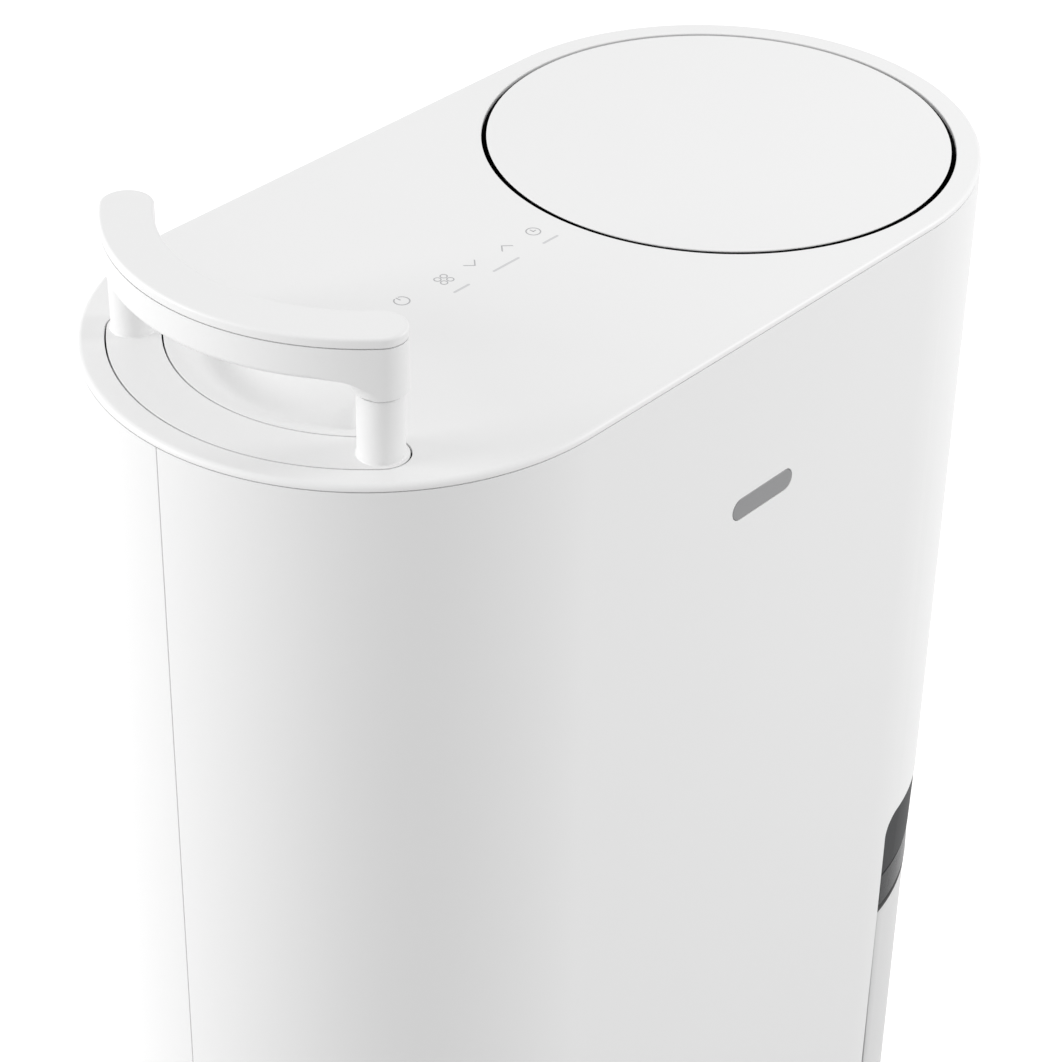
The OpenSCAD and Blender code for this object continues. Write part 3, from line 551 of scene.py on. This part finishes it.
INLET_IN, INLET_OUT = 109, 115.5  # Y of the frame behind the inlet's opening
x0, x1, z0, z1 = INLET_X0 - 3, INLET_X1 + 3, INLET_Z0 - 3, INLET_Z1 + 3
inlet_frame = [block((x0, INLET_IN, z0), (INLET_X0, INLET_OUT, z1), 0.3),
               block((INLET_X1, INLET_IN, z0), (x1, 118, z1), 0.3),
               block((x0, INLET_IN, INLET_Z1), (x1, INLET_OUT, z1), 0.3),
               block((x0, INLET_IN, z0), (x1, INLET_OUT, INLET_Z0), 0.3)]
piece("rear_shell_moulded", merged(mapped(rear, on_wall(1)), cup, *inlet_frame), WHITE,
      "cabinet", ["rear_shell"])

badge = plate(pill(0, 0, BADGE_W, BADGE_H), rounded(0.5, 0.0, 4), level(0), level(-1.6))
badge = turned(badge, Matrix.Translation((BADGE_X, -BODY_R, BADGE_Z))
               @ Matrix.Rotation(math.pi / 2, 4, "X"))
piece("badge_pill", badge, M["badge_grey"], "cabinet", ["badge"])

# ------------------------------------------------------------ top panel with its finger dish

DISH_IN, DISH_DEPTH = 45.0, 9.0  # inner radius about the handle's centre, and depth
DISH_FULL, DISH_END = 37.0, 48.0  # full depth to the first angle, gone at the second


def smooth(t):
    """Eases from 0 to 1."""
    t = np.clip(t, 0, 1)
    return t * t * (3 - 2 * t)


def dish(p):
    """Depth of the finger dish at each point of the top."""
    x, y = p[:, 0] + AXIS_X, p[:, 1]
    r = np.hypot(x, y)
    a = np.abs(np.degrees(np.arctan2(y, -x)))
    share = np.clip((r - DISH_IN) / (HANDLE_R - SLOT_HW - 0.6 - DISH_IN), 0, 1)
    across = np.sin(math.pi * share) ** 2
    along = 1 - smooth((a - DISH_FULL) / (DISH_END - DISH_FULL))
    return np.where(x < 0, DISH_DEPTH * across * along, 0.0)


def handle_end(r, a):
    """Point by radius and angle about the handle end's centre, 0 degrees to the left."""
    return -AXIS_X - r * math.cos(math.radians(a)), r * math.sin(math.radians(a))


dish_points = [handle_end(r, a) for r in np.arange(DISH_IN - 1, HANDLE_R - SLOT_HW - 0.9, 1.5)
               for a in np.arange(-48.3, 48.4, 1.15)]
RIM_W = 3.1
rim_edge = rounded(2.5, 0.0, 7)[:-1]
rim_edge += [(0, "b", RIM_Z - SKIN_Z), (RIM_W, "b", RIM_Z - SKIN_Z), (RIM_W, "b", 0)]
panel = plate(stadium(BODY_R, 72), rim_edge,
              lambda p: TOP_Z - dish(p), lambda p: SKIN_Z - dish(p),
              holes=[(circle(AXIS_X, 0, LID_HOLE_R, 180), rounded(0.8, 0.0, 4)),
                     (crescent(SLOT_HW), rounded(0.3, 0.0, 3))], inner=dish_points)
piece("top_panel_moulded", panel, WHITE, "cabinet", ["top_panel"])

# Touch symbols, thin inlays that stand 0.04 mm proud
INLAY = (TOP_Z + 0.04, TOP_Z - 0.3)


def inlay(outline, holes=()):
    """Sharp-edged inlay in the top panel."""
    edge = rounded(0.0, 0.0, 1)
    return plate(outline, edge, level(INLAY[0]), level(INLAY[1]), holes=[(h, edge) for h in holes])


def stroke(points, w):
    """Flat open line of width w along points, as an outline."""
    p = np.array(points, float)
    d = np.gradient(p, axis=0)
    n = np.column_stack([-d[:, 1], d[:, 0]]) / np.linalg.norm(d, axis=1)[:, None]
    return np.vstack([p - n * w / 2, (p + n * w / 2)[::-1]])


def chevron(cx, cy, s, up):
    """Arrow head without a shaft, 2 s wide."""
    tip = s / 2 if up else -s / 2
    low = np.array([(cx - s, cy - tip), (cx, cy + tip), (cx + s, cy - tip)])
    return np.vstack([low, (low + [0, CHEVRON_LINE])[::-1]])


LINE, CHEVRON_LINE = 0.6, 0.85
POWER_X, CLOCK_X, CLOCK_Y, MODE_X, MODE_Y = -95.8, -10.2, 3.1, -69.6, 3.2
symbols = [inlay(stroke(arc(POWER_X, 3.9, 3.5, 107, 433, 44), LINE)),
           inlay(stroke([(POWER_X, 4.7), (POWER_X, 6.0), (POWER_X, 7.5)], LINE)),
           inlay(circle(CLOCK_X, CLOCK_Y, 3.6, 40), [circle(CLOCK_X, CLOCK_Y, 3.0, 40)]),
           inlay(stroke([(CLOCK_X, 5.2), (CLOCK_X, CLOCK_Y), (CLOCK_X, 3.0)], LINE)),
           inlay(stroke([(-10.4, CLOCK_Y), (-9.0, CLOCK_Y), (-8.4, CLOCK_Y)], LINE))]
for sx in (-1, 1):
    for sy in (-1, 1):
        cx, cy = MODE_X + 2.0 * sx, MODE_Y + 2.0 * sy
        symbols.append(inlay(circle(cx, cy, 1.85, 28), [circle(cx, cy, 1.3, 28)]))
symbols += [inlay(chevron(-51.1, 2.9, 3.6, False)), inlay(chevron(-29.8, 2.5, 3.6, True))]
piece("touch_symbols", merged(*symbols), M["icon_grey"], "cabinet")
# Plain bars where the words under the symbols would be
bars = ((-70, -7.8, 10.5), (-41, -8.0, 17.5), (-10.4, -7.4, 10.5))
labels = [inlay(pill(x, y, w, 1.3, 6)) for x, y, w in bars]
piece("touch_labels", merged(*labels), M["label_grey"], "cabinet")

# ------------------------------------------------------------ lid

# The edge slopes inwards, so that the disc clears the panel as it tilts
lid = [(0, TOP_Z), (LID_R, TOP_Z), (LID_R - 0.6, TOP_Z - 0.9), (LID_R - 3.0, SKIN_Z), (0, SKIN_Z)]
lid = turned(lathe(fillet(lid, [0.5, 0.5, 0.3], 5), 180), Matrix.Translation((AXIS_X, 0, 0)))
piece("lid_disc", lid, WHITE, "lid", ["lid_top"])

# ------------------------------------------------------------ carry handle

POSTS = [(-AXIS_X + HANDLE_R * math.cos(math.radians(180 + s * POST_A)),
          HANDLE_R * math.sin(math.radians(180 + s * POST_A))) for s in (1, -1)]


def to_post(p):
    """Distance of each point to the nearer post's axis."""
    return np.min([np.hypot(p[:, 0] - x, p[:, 1] - y) for x, y in POSTS], axis=0)


def rings_round_posts(radii, step):
    """Points about a step apart on circles round both posts."""
    return [(x + r * math.cos(a), y + r * math.sin(a)) for x, y in POSTS for r in radii
            for a in np.arange(0, 2 * math.pi, step / r)]


ROOT_R = 0.9  # fillet between the carrier plate and a post


def plate_top(p):
    """Upper face of the carrier plate, which sweeps up into the posts."""
    over = np.clip(POST_R + ROOT_R - to_post(p), 0, ROOT_R)
    return TOP_Z + ROOT_R - np.sqrt(ROOT_R ** 2 - over ** 2)


# Carrier: plate and posts, each post ending in a spigot that fills the joint under the grip
POST_TOP, POST_EDGE, SPIGOT_IN = LEG_Z - 1.3, 0.4, 3.0
foot = rings_round_posts([POST_R + ROOT_R * (1 - math.sin(math.radians(a)))
                          for a in range(0, 76, 12)], 1.2)
tower = [(0, "t", 0)]
tower += [(POST_EDGE * (1 - math.cos(t)), "z", POST_TOP - POST_EDGE * (1 - math.sin(t)))
          for t in np.linspace(0, math.pi / 2, 4)]
tower += [(SPIGOT_IN, "z", POST_TOP), (SPIGOT_IN, "z", LEG_Z - 0.1)]
carrier = plate(crescent(PLATE_HW), rounded(0.25, 0.0, 3), plate_top, level(674),
                towers=[(circle(x, y, POST_R, 72), tower) for x, y in POSTS], inner=foot)
piece("handle_carrier", carrier, WHITE, "handle",
      ["handle_plate", "handle_posts"])

LEG_R, ARCH = GRIP_HW, GRIP_UNDER - LEG_Z  # grip's foot, and the curve from it to the underside


def grip_under(p):
    """Underside of the grip, turned over so that it can be the top of a plate."""
    short = np.clip(LEG_R + ARCH - to_post(p), 0, ARCH)
    return -(LEG_Z + np.sqrt(np.maximum(ARCH ** 2 - short ** 2, 0)))


# Grip: its lower edge is sharper at the feet than between them
grip_line = crescent(GRIP_HW, 150) * [1, -1]
grip_line = grip_line[::-1]
softness = 0.4 + 2.2 * smooth((to_post(grip_line) - LEG_R - 3) / 16)
arch = rings_round_posts([LEG_R + ARCH * (1 - math.cos(math.radians(a))) + 0.02
                          for a in range(0, 91, 7)], 1.1)
middle = [handle_end(r, a) for r in np.arange(HANDLE_R - 9, HANDLE_R + 9.1, 3)
          for a in np.arange(-36, 36.1, 2.5)]
middle = [m for m in middle if to_post(np.array([m]))[0] > LEG_R + ARCH + 1.5]
grip = plate(grip_line, rounded(softness, np.full(len(grip_line), 0.15), 5),
             grip_under, level(-(CAP_Z - 0.55)), inner=arch + middle)
grip = turned(grip, Matrix.Diagonal((1, 1, -1, 1)))
piece("handle_grip_moulded", grip, WHITE, "handle", ["handle_grip"])

# Cap: its underside steps down into the grip
cap_edge = rounded(1.3, 0.0, 6)[:-1]
cap_edge += [(0, "b", 0.12), (0.12, "b", 0), (3.5, "b", 0), (3.5, "b", -0.6)]
cap = plate(crescent(GRIP_HW, 150), cap_edge, level(GRIP_TOP), level(CAP_Z))
piece("handle_cap_moulded", cap, WHITE, "handle", ["handle_cap"])

# ------------------------------------------------------------ tank end

END_R = BODY_R - 1
END_STEP = 2.6  # width of the upright strips, arc length
TANK_HW, TANK_BACK = 117, 38  # half width, and X of the tank's inner end
FLOAT_X, FLOAT_Z = 46, 248  # the float's hinge


def end_outline(side, notch=None, margin=2.4):
    """Band outline about the round end. Side is one upright edge as (x, z) from the bottom
    up, and notch is (half width, height, corner radius) of a gap in the lower edge. Gives
    the arc lengths of the upright strips too, which stop a margin short of the edges."""
    edge = np.array([(BODY_R * math.acos((x - AXIS_X) / END_R), z) for x, z in side])
    z0, z1 = side[0][1], side[-1][1]
    half = edge[:, 0].min() - margin
    n = int(2 * half / END_STEP) | 1
    cols = np.linspace(-half, half, n + 1)
    corner = np.array([u for u in edge[1:-1, 0] if u < edge[0, 0] - 0.3])
    low = [(-u, z0) for u in corner] + [(u, z0) for u in cols] + [(u, z0) for u in corner[::-1]]
    if notch:
        w, h, r = notch
        rise = [(-w, z0)] + [tuple(p) for p in arc(-w + r, h - r, r, 180, 90, 8)]
        over = [(u, h) for u in cols if abs(u) < w - r - 0.5]
        left = [p for p in low if p[0] < -w - 0.5]
        low = left + rise + over + [(-u, z) for u, z in (left + rise)[::-1]]
    high = [(u, z1) for u in cols[::-1]]
    right = [(edge[0, 0], z0)] + [tuple(e) for e in edge[1:]]
    return np.array(low + right + high + [(-u, z) for u, z in right[::-1]]), cols


def round_end(radius):
    """Wraps (arc length, height, -depth) round the tank's end, its radius set by height."""
    def place(v):
        r, a = radius(v[:, 1]) + v[:, 2], v[:, 0] / BODY_R
        return np.column_stack([AXIS_X + r * np.cos(a), r * np.sin(a), v[:, 1]])
    return place


def upright(y):
    """Stands (x, z, height) up on a plane across Y, its heights pointing back."""
    return lambda v: np.column_stack([v[:, 0], y + v[:, 2], v[:, 1]])


def tank_plan(hw, x0, r=8.0):
    """Plan of the tank: round at its end, small corners at the back."""
    side = np.linspace(AXIS_X, x0 + r, 9)[1:-1]
    return np.vstack([arc(AXIS_X, 0, hw, -90, 90, 110), np.column_stack([side, np.full(7, hw)]),
                      arc(x0 + r, hw - r, r, 90, 180, 8), arc(x0 + r, r - hw, r, 180, 270, 8),
                      np.column_stack([side[::-1], np.full(7, -hw)])])


def vessel(outline, rows):
    """Open tub: (inset, height) rows from the outer floor over the rim to the inner floor."""
    n, verts, faces = len(outline), [], []
    for d, z in rows:
        verts.append(np.column_stack([inset(outline, d), np.full(n, z)]))
    i = np.arange(n)
    j = (i + 1) % n
    for k in range(len(rows) - 1):
        faces += np.column_stack([k * n + i, k * n + j, (k + 1) * n + j, (k + 1) * n + i]).tolist()
    faces.append(i[::-1].tolist())
    faces.append(((len(rows) - 1) * n + i).tolist())
    return np.vstack(verts), faces


# Panel above the tank, with the finger recess in its lower edge
PANEL_LOW, PANEL_GAP = TANK_TOP + 0.5, 0.4
panel_side = [(TANK_X + PANEL_GAP, PANEL_LOW)]
panel_side += [(TANK_X + CORNER - (CORNER - PANEL_GAP) * math.cos(math.radians(a)),
                PANEL_Z - CORNER + (CORNER - PANEL_GAP) * math.sin(math.radians(a)))
               for a in range(0, 91, 6)]
outline, cols = end_outline(panel_side, notch=(63.1, 321.0, 8.0))
band = mapped(plate(outline, rounded(0.5, 0.3, 3), level(0), level(-2.4), columns=cols),
              round_end(lambda z: BODY_R - 0.8 + 0.6 * (z - PANEL_LOW) / (PANEL_Z - PANEL_LOW)))
POCKET_X, POCKET_HW, POCKET_Z = 214, 62, 294.5  # back wall, half width and foot of the recess
roof_arc = arc(AXIS_X, 0, BODY_R - 3.2, -30.6, 30.6, 24)
roof = plate(np.vstack([roof_arc, [(POCKET_X, POCKET_HW), (POCKET_X, -POCKET_HW)]]),
             rounded(0.3, 0.3, 2), level(323), level(321))
walls = [block((POCKET_X, -POCKET_HW, POCKET_Z), (POCKET_X + 2, POCKET_HW, 322), 0.4)]
walls += [block((POCKET_X + 0.5, y, POCKET_Z), (224.6, y + 2, 322), 0.4)
          for y in (-POCKET_HW, POCKET_HW - 2)]
ledge = []
for s in (-1, 1):
    rim = arc(AXIS_X, 0, 121.4, s * 31.2, s * 45.4, 8)
    shape = np.vstack([rim, [(205.2, s * 62.2)]])
    ledge.append(plate(shape if s > 0 else shape[::-1], rounded(0.2, 0.2, 1),
                       level(324.5), level(322.5)))
piece("tank_recess_panel", merged(band, roof, *walls, *ledge), DARK,
      "cabinet", ["recess_panel"])

# Tub, with the window above the fascia, the shelf under it and the float's two ears
TUB_RIM, TUB_FLOOR = TANK_TOP - 8, 38.4
tub = vessel(tank_plan(TANK_HW, TANK_BACK), fillet(
    [(8, TUB_FLOOR), (0, TUB_FLOOR), (0, TUB_RIM), (2.5, TUB_RIM), (2.5, 40.9), (9, 40.9)],
    [5, 0.8, 0.8, 4], 6))
outline, cols = end_outline([(TANK_X + 0.6, FASCIA_TOP + 4.6), (TANK_X + 0.6, TANK_TOP)])
window = mapped(plate(outline, rounded(1.5, 0.4, 5), level(0), level(-3.2), columns=cols),
                round_end(lambda z: BODY_R - 0.5 - 0.02 * (z - FASCIA_TOP)))
shelf = plate(np.vstack([arc(AXIS_X, 0, 121.8, -82, 82, 80), arc(AXIS_X, 0, 116.8, 82, -82, 80)]),
              rounded(0.3, 0.3, 2), level(FASCIA_TOP + 8.6), level(FASCIA_TOP + 4.6))
EAR_T = 3.5
ear = plate(round_rect(40, 242, 49.5, 254, 2, 4), rounded(0.5, 0.5, 2), level(0), level(-EAR_T),
            holes=[(circle(FLOAT_X, FLOAT_Z, 1.56, 20), rounded(0.1, 0.1, 1))])
ears = [mapped(ear, upright(y + EAR_T)) for y in (36, 66.5)]
piece("tank_tub", merged(tub, window, shelf, *ears), M["smoked_plastic"],
      "tank", ["tank_bucket"])

# White fascia, its outer edge falling back over a wide soft brow. Its finish, fascia_white, is the
# cabinet's white darkened from 0.85 to 0.70: painted shade
BROW_W, BROW_DEPTH = 6, 1.2
outline, cols = end_outline([(TANK_X + 8.0, 37.0), (TANK_X + 3.8, FASCIA_TOP)], margin=6.6)
brow = [(BROW_W * (1 - math.cos(t)), "t", -BROW_DEPTH * (1 - math.sin(t)))
        for t in np.linspace(math.pi / 2, 0, 10)]
brow += rounded(0.0, 0.3, 3)[4:]
skin = mapped(plate(outline, brow, level(0), level(-2.4), columns=cols), round_end(level(END_R)))
clips = [turned(block((117.1, -4, 100), (121.8, 4, 104), 0.4),
                Matrix.Translation((AXIS_X, 0, 0)) @ Matrix.Rotation(math.radians(a), 4, "Z"))
         for a in range(-50, 51, 25)]
piece("tank_fascia_moulded", merged(skin, *clips), M["fascia_white"],
      "tank", ["tank_fascia"])

outline, cols = end_outline([(TANK_X + 0.7, FASCIA_TOP + 0.1), (TANK_X + 0.7, FASCIA_TOP + 4.5)])
seal = mapped(plate(outline, rounded(1.2, 0.3, 4), level(0), level(-6.8), columns=cols),
              round_end(level(BODY_R - 0.8)))
piece("tank_seal", seal, M["black_rubber"], "tank", ["tank_gasket"])

# Cover, with a round pouring hole and an opening for the float
COVER_Z = TANK_TOP - 7.8
hole_edge, skirt_edge = rounded(0.8, 0.0, 3), rounded(0.2, 0.4, 2)
cover = plate(tank_plan(TANK_HW, TANK_BACK), rounded(1.4, 0.0, 4),
              level(COVER_Z + 7), level(COVER_Z + 4.5),
              holes=[(circle(85, 60, 26, 72), hole_edge),
                     (round_rect(85, -62, 150, -12, 5), hole_edge)])
skirt = plate(tank_plan(TANK_HW - 0.1, TANK_BACK + 0.1), skirt_edge,
              level(COVER_Z + 4.7), level(COVER_Z), holes=[(tank_plan(115, 40, 6.5), skirt_edge)])
piece("tank_cover", merged(cover, skirt), DARK, "tank", ["tank_lid"])

# Float, hanging at its rest angle from a pin across the ears
hinge = Matrix.Translation((FLOAT_X, 0, FLOAT_Z))
bob, arm = block((7, 34, -26), (38, 72, -2), 3.0, 4), block((-2, 46, -3), (14, 60, 3), 1.2)
arm = turned(merged(bob, arm), hinge @ Matrix.Rotation(math.radians(25), 4, "Y"))
pin = turned(lathe(fillet([(0, 36), (1.5, 36), (1.5, 70), (0, 70)], [0.3, 0.3], 3), 28),
             hinge @ LIE_ALONG_Y)
piece("tank_float_moulded", merged(arm, pin), M["inner_plastic"],
      "float", ["tank_float"])

# ------------------------------------------------------------ rear intake

# Slotted face, the hoop behind its edge, and three stays across the back of the slats
SLOTS, SLOT_PITCH, SLOT_W, SLOT_H = 27, 8.6, 186, 4.5
FIRST_SLOT = INTAKE_Z0 + 16
slots = [(pill(0, FIRST_SLOT + i * SLOT_PITCH + SLOT_H / 2, SLOT_W, SLOT_H, 6),
          rounded(1.0, 0.0, 3)) for i in range(SLOTS)]


def grille_rect(gap):
    """Rounded rectangle a gap inside the wall's opening."""
    return round_rect(gap - INTAKE_HW, INTAKE_Z0 + gap, INTAKE_HW - gap, INTAKE_Z1 - gap, 2)


face = plate(grille_rect(0.5), rounded(0.7, 0.0, 3), level(0), level(-2.5), holes=slots)
hoop = plate(grille_rect(0.5), rounded(0.1, 0.4, 2), level(-2.4), level(-5.5),
             holes=[(grille_rect(3), rounded(0.1, 0.3, 2))])
stays = [block((x - 0.9, BODY_R - 5.2, INTAKE_Z0 + 4), (x + 0.9, BODY_R - 2.3, INTAKE_Z1 - 4), 0.3)
         for x in (-46.5, 0, 46.5)]
piece("intake_grille_moulded", merged(mapped(merged(face, hoop), upright(BODY_R)), *stays), WHITE,
      "intake", ["intake_grille"])


# ------------------------------------------------------------ casters

CASTER_X, CASTER_Y = 172, 72
WHEEL_R, TRAIL = 11.0, 8.0  # trail: from the swivel's axis back to the axle
cheek = np.vstack([arc(-TRAIL, WHEEL_R, 4.8, 165, 345, 16), arc(5.5, 23.5, 1.5, 0, 90, 4),
                   arc(-5.5, 23.5, 1.5, 90, 180, 4)])
swivel = lathe(fillet([(0, 22.8), (9, 22.8), (9, 25.5), (4, 25.5), (4, 34.5), (0, 34.5)],
                      [0.6, 0.6, 0.2, 0.6], 3), 48)
on_axle = Matrix.Translation((-TRAIL, 0, WHEEL_R)) @ LIE_ALONG_Y
axle = turned(lathe(fillet([(0, -9.6), (2.5, -9.6), (2.5, 9.6), (0, 9.6)], [0.5, 0.5], 3), 32),
              on_axle)
cheek = plate(cheek, rounded(0.7, 0.7, 3), level(1.3), level(-1.3))
cheeks = [mapped(cheek, upright(y)) for y in (-8.1, 8.1)]
BORE_R, TREAD_HW = 2.56, 6
tyre = [(BORE_R, -TREAD_HW), (4.6, -TREAD_HW), (5.2, -4.8), (8.0, -4.8), (8.6, -TREAD_HW),
        (WHEEL_R, -TREAD_HW), (WHEEL_R, TREAD_HW), (8.6, TREAD_HW), (8.0, 4.8), (5.2, 4.8),
        (4.6, TREAD_HW), (BORE_R, TREAD_HW), (BORE_R, -TREAD_HW)]
tyre = lathe(fillet(tyre, [0.2, 0.3, 0.3, 0.3, 2.2, 2.2, 0.3, 0.3, 0.3, 0.2, 0], 4)[:-1], 64)
tyre = turned(tyre, on_axle)
for n, (sx, sy) in enumerate(((1, -1), (1, 1), (-1, -1), (-1, 1)), 1):
    at = Matrix.Translation((CASTER_X * sx, CASTER_Y * sy, 0))
    piece("caster_fork_moulded_%d" % n, turned(merged(swivel, axle, *cheeks), at), DARK,
          "caster_%d" % n, ["caster_fork_%d" % n])
    piece("caster_tyre_%d" % n, turned(tyre, at), M["caster_rubber"],
          "wheel_%d" % n, ["caster_wheel_%d" % n])

# ------------------------------------------------------------ camera, lights and floor

AZIMUTH, ELEVATION, ROLL = 40.72, 34.46, -1.18  # degrees, of the direction looked in
CAMERA_AT = (-0.9533, -0.8110, 1.3809)
az, el, roll = math.radians(AZIMUTH), math.radians(ELEVATION), math.radians(ROLL)
look = Vector((math.cos(el) * math.cos(az), math.cos(el) * math.sin(az), -math.sin(el)))
right = Vector((math.sin(az), -math.cos(az), 0))
down = look.cross(right)
right2 = math.cos(roll) * right + math.sin(roll) * down
down2 = -math.sin(roll) * right + math.cos(roll) * down
camera = bpy.data.objects.new("camera", bpy.data.cameras.new("camera"))
camera.matrix_world = Matrix([(right2[i], -down2[i], -look[i], CAMERA_AT[i]) for i in range(3)]
                             + [(0, 0, 0, 1)])
camera.data.sensor_width = 36
camera.data.lens = 106.43
camera.data.clip_start, camera.data.clip_end = 0.05, 60
bpy.context.scene.collection.objects.link(camera)
bpy.context.scene.camera = camera


def area(name, place, target, size, power):
    """Round soft light at a place, aimed at a target."""
    light = bpy.data.objects.new(name, bpy.data.lights.new(name, "AREA"))
    light.data.shape = "DISK"
    light.data.size = size
    light.data.energy = power
    light.location = place
    light.rotation_mode = "QUATERNION"
    light.rotation_quaternion = (Vector(target) - Vector(place)).to_track_quat("-Z", "Y")
    bpy.context.scene.collection.objects.link(light)


area("key_left", place=(-2.3, 1.9, 1.3), target=(-0.1, 0, 0.5), size=1.6, power=43)
area("fill_right", place=(1.0, -0.95, 1.25), target=(0.15, -0.1, 0.45), size=0.6, power=6.5)

world = bpy.data.worlds.new("studio")
world.use_nodes = True
sky = world.node_tree.nodes["Background"]
sky.inputs["Color"].default_value = (1, 1, 1, 1)
sky.inputs["Strength"].default_value = 0.83
bpy.context.scene.world = world


def stage_plane(name, z, colour, glow):
    """Horizontal paper sheet that isn't part of the object."""
    half = SHEET_SIZE / 2
    corners = [(-half, -half, z), (half, -half, z), (half, half, z), (-half, half, z)]
    mesh = bpy.data.meshes.new(name)
    mesh.from_pydata(corners, [], [(0, 1, 2, 3)])
    sheet = bpy.data.materials.new(name)
    sheet.use_nodes = True
    paper = sheet.node_tree.nodes["Principled BSDF"]
    paper.inputs["Base Color"].default_value = (*[colour] * 3, 1)
    paper.inputs["Roughness"].default_value = 0.9
    paper.inputs["Specular IOR Level"].default_value = 0.1
    paper.inputs["Emission Color"].default_value = (1, 1, 1, 1)
    paper.inputs["Emission Strength"].default_value = glow
    mesh.materials.append(sheet)
    plane = bpy.data.objects.new(name, mesh)
    bpy.context.scene.collection.objects.link(plane)
    return plane


# The floor that is seen lights nothing. A sheet just under it, unseen, throws light back up
SHEET_SIZE = 60
floor = stage_plane("studio_floor", z=0, colour=0.9, glow=0.28)
floor.visible_diffuse = False
bounce = stage_plane("bounce_sheet", z=-0.002, colour=0.68, glow=0)
bounce.visible_camera = False
bounce.visible_glossy = False

bpy.context.scene.view_settings.view_transform = "Standard"
